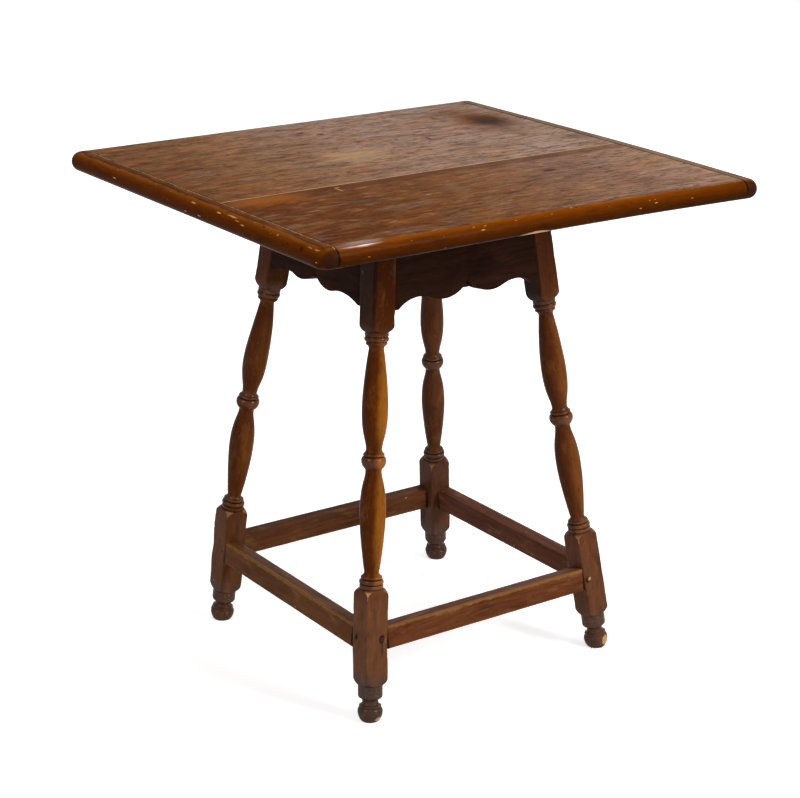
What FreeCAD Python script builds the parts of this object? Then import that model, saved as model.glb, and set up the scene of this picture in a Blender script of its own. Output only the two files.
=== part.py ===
import FreeCAD, Part
import os
import re
import Sketcher

# Tavern table: four splayed turned legs, shaped aprons, a box of stretchers and a two-board top
# between narrow breadboard ends. Millimetres, +Z up, origin on the floor under the middle of the
# top, +X along the boards, -Y the front.

SIZES = (
    # overall
    ("table_height", 700, "floor to the top's upper face"),
    ("top_length", 697, "along the boards, over both breadboard ends"),
    ("top_depth", 657, "front edge to back edge"),
    ("top_thickness", 27, "boards and ends alike"),
    ("foot_spacing_length", 400, "leg axes at the floor, left to right"),
    ("foot_spacing_depth", 402, "leg axes at the floor, front to back"),
    ("head_spacing_length", 242, "leg axes under the top, left to right"),
    ("head_spacing_depth", 227, "leg axes under the top, front to back"),
    # top
    ("front_board_width", 272, "front edge to the seam between the boards"),
    ("end_width", 25, "breadboard end"),
    ("nose_flat", 0.5, "flat left in the middle of the rounded edge"),
    ("corner_slack", 1.5, "how far a top corner's plan radius exceeds the nose radius"),
    ("tongue_thickness", 9, "tongue on the ends of the boards"),
    ("tongue_length", 11, "tongue, shoulder to tip"),
    ("tongue_stop", 26, "tongue and groove stop this far from the front and back edges"),
    ("tongue_fit", 0.15, "clearance on a tongue's faces and ends"),
    ("tongue_tip_gap", 1, "clearance beyond a tongue's tip"),
    # leg stock and blocks
    ("leg_stock", 34.5, "square section of a leg"),
    ("arris", 1.4, "rounding of a leg's long corners"),
    ("saw_allowance", 8, "extra length that is sawn off level"),
    ("lower_block_height", 110.3, "square block that takes the stretchers"),
    ("upper_block_height", 144.6, "square block that takes the aprons, up to the top"),
    # foot and cuff
    ("foot_height", 18, "bun foot"),
    ("foot_widest", 13.1, "height at which the bun foot is fullest"),
    ("foot_radius", 17.1, "bun foot at its fullest"),
    ("foot_edge_in", 1.9, "bun foot's upper edge, inside its fullest"),
    ("foot_tip", 4, "how far the turning runs on below the floor"),
    ("foot_tip_in", 9, "bun foot there, inside its fullest"),
    ("foot_fillet_height", 3, "fillet above the bun foot"),
    ("ankle_height", 10.3, "hollow between fillet and cuff"),
    ("ankle_depth", 4.2, "how deep that hollow is turned"),
    ("cuff_height", 18, "cuff under the lower block, with its rounded edge"),
    ("cuff_radius", 16.8, ""),
    ("cuff_round", 3.4, "height of the cuff's rounded lower edge"),
    ("cuff_in", 1.7, "how far that edge draws in"),
    ("cuff_line_gap", 6, "between the two lines scribed on the cuff"),
    ("scribe_width", 1, "scribed line"),
    ("scribe_depth", 0.4, "scribed line"),
    ("chin_height", 9.8, "turned shoulder under the lower block"),
    ("chin_bend", 16, "radius of that shoulder's curve"),
    # mouldings between a block and a vase
    ("shoulder_height", 12.2, "turned shoulder"),
    ("shoulder_lip", 1.1, "step from shoulder to collar"),
    ("collar_height", 5.6, ""),
    ("collar_radius", 15.9, ""),
    ("quirk_height", 0.9, "fine groove between mouldings"),
    ("quirk_radius", 15, "bottom of a fine groove"),
    ("ring_height", 6.2, "half-round ring"),
    ("ring_swell", 1.5, "ring above the fine groove"),
    ("bead_height", 3.8, "small bead"),
    ("bead_radius", 14.5, ""),
    ("bead_swell", 0.9, "bead above its edges"),
    ("cove_height", 5.6, "hollow between a bead and a vase"),
    # vases and the ring between them
    ("neck_radius", 10, "vase at its slender end"),
    ("waist_radius", 10.7, "vase beside the middle ring"),
    ("belly_radius", 17.05, "vase at its fullest"),
    ("lower_vase_share", 0.506, "part of the free length that the lower vase gets"),
    ("ball_cove_height", 4, "hollow under the middle ring"),
    ("ball_step", 1.9, "middle ring's lower edge outside the waist"),
    ("ball_radius", 16.8, "middle ring at its fullest"),
    ("ball_rise", 10, "middle ring, lower edge to its fullest"),
    ("ball_fall", 5.2, "middle ring, its fullest to the upper edge"),
    ("ball_edge_in", 1.9, "middle ring's upper edge, inside its fullest"),
    # rails
    ("rail_setback", 0.8, "rail's face behind the legs' faces"),
    ("shoulder_gap", 0.02, "between a rail's shoulder and a leg"),
    ("tenon_fit", 0.2, "clearance on a tenon's cheeks and edges"),
    ("tenon_end_gap", 1, "clearance beyond a tenon's end"),
    ("mortise_wall", 0.8, "wood left between two mortises of a leg"),
    ("apron_thickness", 19, ""),
    ("apron_tenon_thickness", 9, ""),
    ("apron_haunch", 16, "apron's top edge down to its tenon"),
    ("apron_tenon_rise", 12, "apron's lower edge up to its tenon"),
    ("apron_toe", 5.5, "flat of the shaped edge beside a leg"),
    ("long_apron_width", 129.5, "front and back aprons beside the legs"),
    ("long_toe_drop", 12, "front and back: arch down to toe"),
    ("long_lobe_drop", 9, "front and back: arch down to lobe"),
    ("long_cusp_rise", 19, "front and back: lobe up to the middle cusp"),
    ("long_lobe_share", 0.323, "front and back: lobe's place from the middle to the leg"),
    ("long_arch_share", 0.68, "front and back: arch's place from the middle to the leg"),
    ("short_apron_width", 126, "side aprons beside the legs"),
    ("short_toe_drop", 8, "sides: arch down to toe"),
    ("short_lobe_drop", 5, "sides: arch down to lobe"),
    ("short_cusp_rise", 17, "sides: lobe up to the middle cusp"),
    ("short_lobe_share", 0.311, "sides: lobe's place from the middle to the leg"),
    ("short_arch_share", 0.596, "sides: arch's place from the middle to the leg"),
    ("stretcher_low", 95.3, "floor to a stretcher's lower edge"),
    ("stretcher_width", 32, "lower edge to upper edge"),
    ("stretcher_thickness", 22, ""),
    ("stretcher_arris", 1.5, "rounding of the long edges"),
    ("stretcher_tenon_thickness", 9, ""),
    ("stretcher_tenon_inset", 3.5, "stretcher's edge to its tenon's edge"),
    # pegs and screws
    ("peg_radius", 3.4, "at the leg's face"),
    ("peg_taper", 0.5, "peg's tip, smaller than its head in radius"),
    ("peg_fit", 0.08, "clearance round a peg"),
    ("peg_inset", 8.5, "peg's axis from the rail's shoulder"),
    ("peg_proud", 0.7, "domed head above the leg's face"),
    ("peg_clearance", 1, "gap left between crossing pegs"),
    ("apron_peg_drop", 80, "peg below the apron's top edge"),
    ("screw_radius", 2.2, "shank of a screw that holds the top"),
    ("screw_head_radius", 4.2, ""),
    ("screw_head_height", 2.8, ""),
    ("screw_fit", 0.15, "clearance round a screw"),
    ("screw_slant", 15, "degrees between screw and apron"),
    ("screw_seat", 24, "pocket's floor from the apron's top edge, along the screw"),
    ("screw_bite", 15, "how far a screw enters the top, along the screw"),
    ("screw_share", 0.55, "place of a long apron's two screws from the middle to the leg"),
    ("pocket_radius", 5.5, "screw pocket in an apron's inner face"),
    ("pocket_length", 46, "screw pocket"),
)

WORKED = (
    ("underside", "table_height - top_thickness", "height of the top's lower face"),
    ("lean_length", "(foot_spacing_length - head_spacing_length) / 2 / underside", "splay along X"),
    ("lean_depth", "(foot_spacing_depth - head_spacing_depth) / 2 / underside", "splay along Y"),
    ("leg_angle", "atan(sqrt(lean_length ^ 2 + lean_depth ^ 2))", "leg out of plumb, degrees"),
    ("leg_length", "underside * sqrt(1 + lean_length ^ 2 + lean_depth ^ 2)", "along the leg's axis"),
    ("waste_radius", "leg_stock * 0.9", "well outside the stock's corners"),
    ("corner_radius", "leg_stock * sqrt(0.5)", "stock's corners"),
    ("cuff_rim", "cuff_radius - cuff_in", "both edges of the ankle hollow"),
    ("bead_rim", "bead_radius - bead_swell", "edges of a bead"),
    ("ball_rim", "waist_radius + ball_step", "middle ring's lower edge"),
    ("foot_turning", "foot_height + foot_fillet_height + ankle_height + cuff_height + chin_height",
     "floor to the lower block"),
    ("group_height", "shoulder_height + collar_height + 2 * quirk_height + ring_height + bead_height"
     " + cove_height", "mouldings between a block and a vase"),
    ("centre_height", "cove_height + bead_height + quirk_height + ball_fall + ball_rise"
     " + ball_cove_height", "mouldings between the vases"),
    ("vases_height", "leg_length - upper_block_height - lower_block_height - foot_turning"
     " - 2 * group_height - centre_height", "free length shared by the vases"),
    # rails along X are long, rails along Y are short
    ("long_tilt", "atan(lean_depth)", "long rails out of plumb, degrees"),
    ("short_tilt", "atan(lean_length)", "short rails out of plumb, degrees"),
    ("long_cos", "1 / sqrt(1 + lean_depth ^ 2)", "height gained up a long rail's face"),
    ("short_cos", "1 / sqrt(1 + lean_length ^ 2)", "height gained up a short rail's face"),
    ("long_lean", "lean_length * long_cos", "leg's lean seen square on to a long rail"),
    ("short_lean", "lean_depth * short_cos", "leg's lean seen square on to a short rail"),
    ("leg_twist", "leg_stock / 4 * lean_length * lean_depth",
     "how far a leg that leans both ways turns its side into a rail's shoulder"),
    ("long_head", "head_spacing_length / 2 - leg_stock / 2 * sqrt(1 + long_lean ^ 2) - leg_twist"
     " - shoulder_gap", "middle of a long rail to its shoulder, under the top"),
    ("short_head", "head_spacing_depth / 2 - leg_stock / 2 * sqrt(1 + short_lean ^ 2) - leg_twist"
     " - shoulder_gap", "middle of a short rail to its shoulder, under the top"),
    ("apron_offset", "leg_stock / 2 - rail_setback - apron_thickness / 2",
     "leg's axis to the apron's middle plane"),
    ("stretcher_offset", "leg_stock / 2 - rail_setback - stretcher_thickness / 2",
     "leg's axis to the stretcher's middle plane"),
    ("apron_tenon_length", "leg_stock / 2 + apron_offset - apron_tenon_thickness / 2 - tenon_fit"
     " - tenon_end_gap - mortise_wall", "stops short of the neighbouring mortise"),
    ("stretcher_tenon_length", "leg_stock / 2 + stretcher_offset - stretcher_tenon_thickness / 2"
     " - tenon_fit - tenon_end_gap - mortise_wall", "stops short of the neighbouring mortise"),
    ("long_arch_width", "long_apron_width - long_toe_drop", "top edge to arch"),
    ("long_lobe_width", "long_arch_width + long_lobe_drop", "top edge to lobe"),
    ("short_arch_width", "short_apron_width - short_toe_drop", "top edge to arch"),
    ("short_lobe_width", "short_arch_width + short_lobe_drop", "top edge to lobe"),
    ("peg_depth", "leg_stock - peg_inset - peg_radius - peg_clearance", "stops short of a crossing peg"),
    ("nose_radius", "(top_thickness - nose_flat) / 2", "rounded edge of the top"),
    ("top_corner_radius", "nose_radius + corner_slack", "top's corners in plan"),
    ("seam_place", "front_board_width - top_depth / 2", "Y of the seam between the boards"),
    ("board_half", "top_length / 2 - end_width", "half a board's length without its tongues"),
)

# Inner poles of a vase: share of its length from the slender end, share of its swell.
VASE_POLES = (("0.441", "1.171"), ("0.842", "1.082"), ("0.937", "0.11"))

# Closer together than this is the same place.
NEAR = 0.01

# Sides of the frame: name, turn about Z in degrees, long (along X) or short (along Y).
SIDES = (("front", 0, "long"), ("right", 90, "short"), ("back", 180, "long"), ("left", 270, "short"))
HEAD_ACROSS = {"long": "head_spacing_depth", "short": "head_spacing_length"}

# Legs: name, which way from the middle along X and along Y.
CORNERS = (("front_left", -1, -1), ("front_right", 1, -1), ("back_left", -1, 1), ("back_right", 1, 1))

doc = FreeCAD.newDocument("tavern_table")
sheet = doc.addObject("Spreadsheet::Sheet", "Sizes")
worked = doc.addObject("App::VarSet", "Worked")
OWNERS = {}

for row, (alias, value, note) in enumerate(SIZES, start=1):
    sheet.set("A%d" % row, str(value))
    sheet.setAlias("A%d" % row, alias)
    sheet.set("B%d" % row, note)
    OWNERS[alias] = "Sizes." + alias
doc.recompute()


def bound(text):
    """An expression with each named size written as the document refers to it."""
    return re.sub("[a-z_]+", lambda word: OWNERS.get(word.group(), word.group()), text)


def size(text):
    """The number that an expression of named sizes comes to."""
    return float(worked.evalExpression(bound(text)))


for name, formula, note in WORKED:
    worked.addProperty("App::PropertyFloat", name, "Worked", note)
    worked.setExpression(name, bound(formula))
    OWNERS[name] = "Worked." + name
    doc.recompute()


# ---- sketches ---------------------------------------------------------------------------------

def new_body(name):
    body = doc.addObject("PartDesign::Body", name)
    body.Label = name
    return body


def new_sketch(body, name, plane):
    sketch = body.newObject("Sketcher::SketchObject", name)
    origin_plane = next(item for item in body.Origin.OriginFeatures if item.Role == plane)
    sketch.AttachmentSupport = (origin_plane, [""])
    sketch.MapMode = "FlatFace"
    return sketch


def spot(across, up):
    return FreeCAD.Vector(size(across), size(up), 0)


def tie(sketch, constraint, text):
    """Add a dimension to a sketch and bind it to named sizes."""
    index = sketch.addConstraint(constraint)
    sketch.setExpression("Constraints[%d]" % index, bound(text))


def hold(sketch, geometry, vertex, across, up):
    """Fix a vertex by its two distances from the sketch's origin."""
    tie(sketch, Sketcher.Constraint("DistanceX", -1, 1, geometry, vertex, size(across)), across)
    tie(sketch, Sketcher.Constraint("DistanceY", -1, 1, geometry, vertex, size(up)), up)


def add_line(sketch, start, end):
    return sketch.addGeometry(Part.LineSegment(spot(*start), spot(*end)), False), 1, 2


def add_arc(sketch, start, end, radius, turn):
    """Arc of less than half a circle; turn is 1 anticlockwise and -1 clockwise."""
    first = spot(*start)
    last = spot(*end)
    chord = last - first
    reach = size(radius)
    rise = (reach ** 2 - chord.Length ** 2 / 4) ** 0.5
    left = FreeCAD.Vector(-chord.y, chord.x, 0).normalize()
    circle = Part.Circle((first + last) / 2 + left * rise * turn, FreeCAD.Vector(0, 0, 1), reach)
    ends = [circle.parameter(first), circle.parameter(last)][::turn]
    index = sketch.addGeometry(Part.ArcOfCircle(circle, *ends), False)
    tie(sketch, Sketcher.Constraint("Radius", index, reach), radius)
    return (index, 1, 2) if turn > 0 else (index, 2, 1)


def add_curve(sketch, start, end, poles):
    """Smooth cubic curve whose inner poles are held by named sizes."""
    places = [spot(*place) for place in (start, *poles, end)]
    rings = [sketch.addGeometry(Part.Circle(place, FreeCAD.Vector(0, 0, 1), 1), True) for place in places]
    index = sketch.addGeometry(Part.BSplineCurve(places, None, None, False, 3, None, False), False)
    sketch.addConstraint(Sketcher.Constraint("Weight", rings[0], 1.0))
    for ring in rings[1:]:
        sketch.addConstraint(Sketcher.Constraint("Equal", rings[0], ring))
    for number, ring in enumerate(rings):
        kind = "InternalAlignment:Sketcher::BSplineControlPoint"
        sketch.addConstraint(Sketcher.Constraint(kind, ring, 3, index, number))
    for ring, pole in zip(rings[1:-1], poles):
        hold(sketch, ring, 3, *pole)
    return index, 1, 2


MAKERS = {"line": add_line, "arc": add_arc, "curve": add_curve}


def outline(sketch, steps):
    """Closed outline through the steps, from where the last of them ends.

    A step is ("line", x, y), ("arc", x, y, radius, turn) or ("curve", x, y, inner poles), and x and y
    are where it ends.
    """
    ends = [step[1:3] for step in steps]
    starts = ends[-1:] + ends[:-1]
    pieces = [MAKERS[step[0]](sketch, start, end, *step[3:])
              for step, start, end in zip(steps, starts, ends)]
    for (piece, _, finish), (following, begin, _), end in zip(pieces, pieces[1:] + pieces[:1], ends):
        sketch.addConstraint(Sketcher.Constraint("Coincident", piece, finish, following, begin))
        hold(sketch, following, begin, *end)


def polygon(sketch, corners):
    outline(sketch, [("line", *corner) for corner in corners])


# ---- features ---------------------------------------------------------------------------------

def add_pad(body, sketch, length, side="Symmetric"):
    pad = body.newObject("PartDesign::Pad", "Pad")
    pad.Profile = sketch
    pad.SideType = side
    pad.setExpression("Length", bound(length))
    return pad


def add_turning(body, sketch, kind):
    """Turn a sketch round its upright axis: a Groove cuts, a Revolution adds."""
    turning = body.newObject("PartDesign::" + kind, kind)
    turning.Profile = sketch
    turning.ReferenceAxis = (sketch, ["V_Axis"])
    turning.Angle = 360


def add_fillet(body, feature, radius, wanted):
    """Round those edges of a feature whose middle points are wanted."""
    doc.recompute()
    names = ["Edge%d" % number for number, edge in enumerate(feature.Shape.Edges, start=1)
             if wanted(edge.valueAt((edge.FirstParameter + edge.LastParameter) / 2))]
    fillet = body.newObject("PartDesign::Fillet", "Fillet")
    fillet.Base = (feature, names)
    fillet.setExpression("Radius", bound(radius))


def add_primitive(kind, name, placing, **dimensions):
    item = doc.addObject("Part::" + kind, name)
    for dimension, text in dimensions.items():
        item.setExpression(dimension, bound(text))
    item.setExpression("Placement", bound(placing))
    return item


def join(kind, name, members):
    """A MultiFuse melts its members into one; a Compound keeps them apart."""
    item = doc.addObject("Part::" + kind, name)
    item.Label = name
    if kind == "Compound":
        item.Links = members
    else:
        item.Shapes = members
    return item


def cut(name, base, tools):
    item = doc.addObject("Part::Cut", name)
    item.Label = name
    item.Base = base
    item.Tool = join("MultiFuse", name + "_waste", tools)
    return item


def place(x="0", y="0", z="0", axis=("0", "0", "1"), angle="0"):
    """Placement as text: a turn in degrees about an axis through the origin, then a move."""
    return "placement(vector(%s; %s; %s); rotation(vector(%s; %s; %s); %s))" % (x, y, z, *axis, angle)


# ---- legs -------------------------------------------------------------------------------------

def upright_bend(height, run):
    """Radius of an arc that starts upright, with its height and its run outwards."""
    return "((%s) ^ 2 + (%s) ^ 2) / (2 * (%s))" % (height, run, run)


def even_bend(chord, rise):
    """Radius of an arc that rises evenly above its chord."""
    return "((%s) ^ 2 / 4 + (%s) ^ 2) / (2 * (%s))" % (chord, rise, rise)


def swell(radius):
    return "arc", radius, -1


def hollow(radius):
    return "arc", radius, 1


STRAIGHT = ("line",)


def turned(top, members):
    """Steps down a turning; a member is its height, its radii above and below, and its shape."""
    steps = []
    level = top
    radius = None
    for height, above, below, (kind, *bend) in members:
        if above != radius:
            steps.append(("line", above, level))
        bottom = "%s - (%s)" % (level, height)
        if kind == "curve":
            poles = [("neck_radius + %s * (belly_radius - neck_radius)" % out,
                      "%s - (%s) * %s" % (level, height, along)) for along, out in bend[0]]
            bend = [poles]
        steps.append((kind, below, bottom, *bend))
        level = bottom
        radius = below
    return steps


def upturned(members):
    """The same members in the opposite order, each upside down."""
    return [(height, below, above, shape) for height, above, below, shape in reversed(members)]


SCRIBED = [
    ("scribe_width / 2", "cuff_radius", "cuff_radius - scribe_depth", STRAIGHT),
    ("scribe_width / 2", "cuff_radius - scribe_depth", "cuff_radius", STRAIGHT),
]
CUFF_MARGIN = [
    ("(cuff_height - cuff_round - cuff_line_gap - scribe_width) / 2", "cuff_radius", "cuff_radius", STRAIGHT),
]
FOOT = [
    ("chin_height", "corner_radius", "cuff_radius", swell("chin_bend")),
    *CUFF_MARGIN,
    *SCRIBED,
    ("cuff_line_gap - scribe_width", "cuff_radius", "cuff_radius", STRAIGHT),
    *SCRIBED,
    *CUFF_MARGIN,
    ("cuff_round", "cuff_radius", "cuff_rim", swell(upright_bend("cuff_round", "cuff_in"))),
    ("ankle_height", "cuff_rim", "cuff_rim", hollow(even_bend("ankle_height", "ankle_depth"))),
    ("foot_fillet_height", "cuff_rim", "cuff_rim", STRAIGHT),
    ("foot_height - foot_widest - scribe_width / 2", "foot_radius - foot_edge_in", "foot_radius",
     swell(upright_bend("foot_height - foot_widest - scribe_width / 2", "foot_edge_in"))),
    ("scribe_width / 2", "foot_radius", "foot_radius - scribe_depth", STRAIGHT),
    ("scribe_width / 2", "foot_radius - scribe_depth", "foot_radius", STRAIGHT),
    ("foot_widest - scribe_width / 2 + foot_tip", "foot_radius", "foot_radius - foot_tip_in",
     swell(upright_bend("foot_widest - scribe_width / 2 + foot_tip", "foot_tip_in"))),
    ("saw_allowance", "foot_radius - foot_tip_in", "foot_radius - foot_tip_in", STRAIGHT),
]
MOULDINGS = [
    ("shoulder_height", "corner_radius", "collar_radius + shoulder_lip",
     swell(upright_bend("shoulder_height", "corner_radius - collar_radius - shoulder_lip"))),
    ("collar_height", "collar_radius", "collar_radius", STRAIGHT),
    ("quirk_height", "quirk_radius", "quirk_radius", STRAIGHT),
    ("ring_height", "quirk_radius", "quirk_radius", swell(even_bend("ring_height", "ring_swell"))),
    ("quirk_height", "bead_rim", "bead_rim", STRAIGHT),
    ("bead_height", "bead_rim", "bead_rim", swell(even_bend("bead_height", "bead_swell"))),
    ("cove_height", "bead_rim", "neck_radius", hollow(upright_bend("cove_height", "bead_rim - neck_radius"))),
]
CENTRE = [
    ("cove_height", "waist_radius", "bead_rim", hollow(upright_bend("cove_height", "bead_rim - waist_radius"))),
    ("bead_height", "bead_rim", "bead_rim", swell(even_bend("bead_height", "bead_swell"))),
    ("quirk_height", "bead_rim", "bead_rim", STRAIGHT),
    ("ball_fall", "ball_radius - ball_edge_in", "ball_radius", swell(upright_bend("ball_fall", "ball_edge_in"))),
    ("ball_rise", "ball_radius", "ball_rim", swell(upright_bend("ball_rise", "ball_radius - ball_rim"))),
    ("ball_cove_height", "ball_rim", "waist_radius", hollow(upright_bend("ball_cove_height", "ball_step"))),
]
UPPER_VASE = [
    ("vases_height * (1 - lower_vase_share)", "neck_radius", "waist_radius", ("curve", VASE_POLES)),
]
LOWER_VASE = [
    ("vases_height * lower_vase_share", "waist_radius", "neck_radius",
     ("curve", [("(1 - %s)" % along, out) for along, out in reversed(VASE_POLES)])),
]


def turning_waste(body, name, top, members, bottom):
    """Groove that turns the members below a level and clears the stock outside them."""
    sketch = new_sketch(body, name, "XZ_Plane")
    outline(sketch, turned(top, members) + [("line", "waste_radius", bottom), ("line", "waste_radius", top)])
    add_turning(body, sketch, "Groove")


def rounded_square(sketch, width, corner):
    side = "%s / 2" % width
    flat = "(%s / 2 - %s)" % (width, corner)
    steps = []
    for x, y in ((1, 1), (-1, 1), (-1, -1), (1, -1)):
        on_side = ("%d * %s" % (x, side), "%d * %s" % (y, flat))
        on_end = ("%d * %s" % (x, flat), "%d * %s" % (y, side))
        arrive, leave = (on_side, on_end) if x == y else (on_end, on_side)
        steps += [("line", *arrive), ("arc", *leave, corner, 1)]
    outline(sketch, steps)


def make_leg(name, along, back, tools):
    """Leg turned upright about its own axis, then leant over and sawn level at both ends."""
    body = new_body(name + "_turned")
    section = new_sketch(body, "section", "XY_Plane")
    rounded_square(section, "leg_stock", "arris")
    section.setExpression("AttachmentOffset.Base.z", bound("-saw_allowance"))
    add_pad(body, section, "leg_length + 2 * saw_allowance", "One side")
    vases_top = "leg_length - upper_block_height"
    vases = MOULDINGS + UPPER_VASE + CENTRE + LOWER_VASE + upturned(MOULDINGS)
    turning_waste(body, "vase_turning", vases_top, vases, "foot_turning + lower_block_height")
    turning_waste(body, "foot_turning", "foot_turning", FOOT, "-foot_tip - saw_allowance")
    foot = ("%d * foot_spacing_length / 2" % along, "%d * foot_spacing_depth / 2" % back, "0")
    lean_axis = ("%d * lean_depth" % back, "%d * lean_length" % -along, "0")
    body.setExpression("Placement", bound(place(*foot, lean_axis, "leg_angle")))
    return cut(name, body, tools)


# ---- rails ------------------------------------------------------------------------------------

def rail_frame(turn, family, offset):
    """Placement with X along a rail, Y up its face from the top's underside and Z outwards."""
    head = "-%s / 2" % HEAD_ACROSS[family]
    return " * ".join((
        place(angle=str(turn)),
        place("0", head, "underside", ("1", "0", "0"), "90 - %s_tilt" % family),
        place(z=offset),
    ))


def shoulder_at(family, level):
    """Middle of a rail to its shoulder, at a level up its face."""
    return "(%s_head - (%s) * %s_lean)" % (family, level, family)


def leaning_bar(sketch, family, low, high, extra):
    """Bar with ends that lean as the legs do, longer than the shoulders by extra at each end."""
    wide = "(%s + %s)" % (shoulder_at(family, low), extra)
    narrow = "(%s + %s)" % (shoulder_at(family, high), extra)
    polygon(sketch, [("-" + wide, low), (wide, low), (narrow, high), ("-" + narrow, high)])


def rail_levels(kind, family):
    """A rail's tenon: its lower and upper edges, up the rail's face."""
    if kind == "apron":
        return "apron_tenon_rise - %s_apron_width" % family, "-apron_haunch"
    edge = "(stretcher_low - underside) / %s_cos" % family
    return edge + " + stretcher_tenon_inset", edge + " + stretcher_width - stretcher_tenon_inset"


def make_mortises(kind, side, turn, family):
    """The room that the tenons at both ends of a rail need in its legs."""
    body = new_body("%s_mortises_%s" % (kind, side))
    sketch = new_sketch(body, "mortises", "XY_Plane")
    low, high = rail_levels(kind, family)
    reach = "%s_tenon_length + tenon_end_gap" % kind
    leaning_bar(sketch, family, low + " - tenon_fit", high + " + tenon_fit", reach)
    add_pad(body, sketch, "%s_tenon_thickness + 2 * tenon_fit" % kind)
    body.setExpression("Placement", bound(rail_frame(turn, family, kind + "_offset")))
    return body


def scallop(sketch, family):
    """Apron's face: its lower edge runs from a middle cusp over lobe, arch and toe on each side."""
    toe_level = "-%s_apron_width" % family
    arch_level = "-%s_arch_width" % family
    cusp_level = "-(%s_lobe_width - %s_cusp_rise)" % (family, family)
    shoulder = shoulder_at(family, toe_level)
    lobe = "%s * %s_lobe_share" % (shoulder, family)
    arch = "%s * %s_arch_share" % (shoulder, family)
    toe = "(%s - apron_toe)" % shoulder
    drop = "%s_lobe_drop" % family
    lobe_bend = "(%s)" % upright_bend(lobe, family + "_cusp_rise")
    arch_bend = "(((%s - %s) ^ 2 + (%s - %s) ^ 2 - %s ^ 2) / (2 * %s))" % (
        arch, lobe, lobe_bend, drop, lobe_bend, drop)
    toe_bend = "(%s)" % upright_bend("%s - %s" % (toe, arch), family + "_toe_drop")
    blend = "%s / (%s + %s)" % (lobe_bend, lobe_bend, arch_bend)
    meet = "(%s + (%s - %s) * %s)" % (lobe, arch, lobe, blend)
    meet_level = "%s - %s_lobe_width - (%s + %s - %s) * %s" % (
        lobe_bend, family, lobe_bend, arch_bend, drop, blend)
    top_level = "saw_allowance"
    top = shoulder_at(family, top_level)
    outline(sketch, [
        ("arc", meet, meet_level, lobe_bend, 1),
        ("arc", arch, arch_level, arch_bend, -1),
        ("arc", toe, toe_level, toe_bend, -1),
        ("line", shoulder, toe_level),
        ("line", top, top_level),
        ("line", "-" + top, top_level),
        ("line", "-" + shoulder, toe_level),
        ("line", "-" + toe, toe_level),
        ("arc", "-(%s)" % arch, arch_level, toe_bend, -1),
        ("arc", "-" + meet, meet_level, arch_bend, -1),
        ("arc", "0", cusp_level, lobe_bend, 1),
    ])


def make_rail(kind, side, turn, family, tools):
    body = new_body("%s_%s_board" % (kind, side))
    face = new_sketch(body, "face", "XY_Plane")
    low, high = rail_levels(kind, family)
    if kind == "apron":
        scallop(face, family)
    else:
        inset = "stretcher_tenon_inset"
        leaning_bar(face, family, "%s - %s" % (low, inset), "%s + %s" % (high, inset), "0")
    board = add_pad(body, face, "%s_thickness" % kind)
    if kind == "stretcher":
        add_fillet(body, board, "stretcher_arris", lambda p: abs(p.x) < NEAR and abs(p.z) > NEAR)
    tenons = new_sketch(body, "tenons", "XY_Plane")
    leaning_bar(tenons, family, low, high, "%s_tenon_length" % kind)
    add_pad(body, tenons, "%s_tenon_thickness" % kind)
    body.setExpression("Placement", bound(rail_frame(turn, family, kind + "_offset")))
    return cut("%s_%s" % (kind, side), body, tools)


# ---- pegs and screws --------------------------------------------------------------------------

def peg_placing(kind, turn, family, hand):
    """Placement of a peg whose Z axis runs outwards through the leg's face."""
    level = "-apron_peg_drop"
    if kind == "stretcher":
        level = "(stretcher_low - underside) / %s_cos + stretcher_width / 2" % family
    across = "%d * (%s + peg_inset)" % (hand, shoulder_at(family, level))
    return rail_frame(turn, family, "leg_stock / 2") + " * " + place(across, level)


def make_peg(name, placing):
    body = new_body(name)
    profile = new_sketch(body, "profile", "XZ_Plane")
    outline(profile, [
        ("line", "0", "-peg_depth"),
        ("line", "peg_radius - peg_taper", "-peg_depth"),
        ("line", "peg_radius", "0"),
        ("arc", "0", "peg_proud", upright_bend("peg_radius", "peg_proud"), 1),
    ])
    add_turning(body, profile, "Revolution")
    body.setExpression("Placement", bound(placing))
    return body


def make_peg_hole(name, placing):
    bottom = place(z="-peg_depth - peg_clearance / 2")
    return add_primitive("Cylinder", name, placing + " * " + bottom, Radius="peg_radius + peg_fit",
                         Height="peg_depth + peg_clearance / 2 + saw_allowance")


def screw_placing(turn, family, hand):
    """Placement of a screw whose Z axis runs up its shank, from its seat in the apron."""
    across = "%d * screw_share * %s_head" % (hand, family)
    slant = place(across, "0", "0", ("1", "0", "0"), "screw_slant - 90")
    return " * ".join((rail_frame(turn, family, "apron_offset"), slant, place(z="-screw_seat")))


def make_screw(name, placing):
    body = new_body(name)
    profile = new_sketch(body, "profile", "XZ_Plane")
    outline(profile, [
        ("line", "0", "-screw_head_height"),
        ("arc", "screw_head_radius", "0", upright_bend("screw_head_radius", "screw_head_height"), 1),
        ("line", "screw_radius", "0"),
        ("line", "screw_radius", "screw_seat + screw_bite - 2 * screw_radius"),
        ("line", "0", "screw_seat + screw_bite"),
    ])
    add_turning(body, profile, "Revolution")
    body.setExpression("Placement", bound(placing))
    return body


def make_screw_holes(name, placing):
    """Pilot hole for the shank, and the pocket that its head sits in."""
    pilot = add_primitive("Cylinder", name + "_pilot", placing, Radius="screw_radius + screw_fit",
                          Height="screw_seat + screw_bite + screw_fit")
    pocket = add_primitive("Cylinder", name + "_pocket", placing + " * " + place(z="-pocket_length"),
                           Radius="pocket_radius", Height="pocket_length")
    return pilot, pocket


# ---- top --------------------------------------------------------------------------------------

def rectangle(sketch, left, right, front, back):
    polygon(sketch, [(left, front), (right, front), (right, back), (left, back)])


TOP_PLACING = "table_height - top_thickness / 2"


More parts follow.
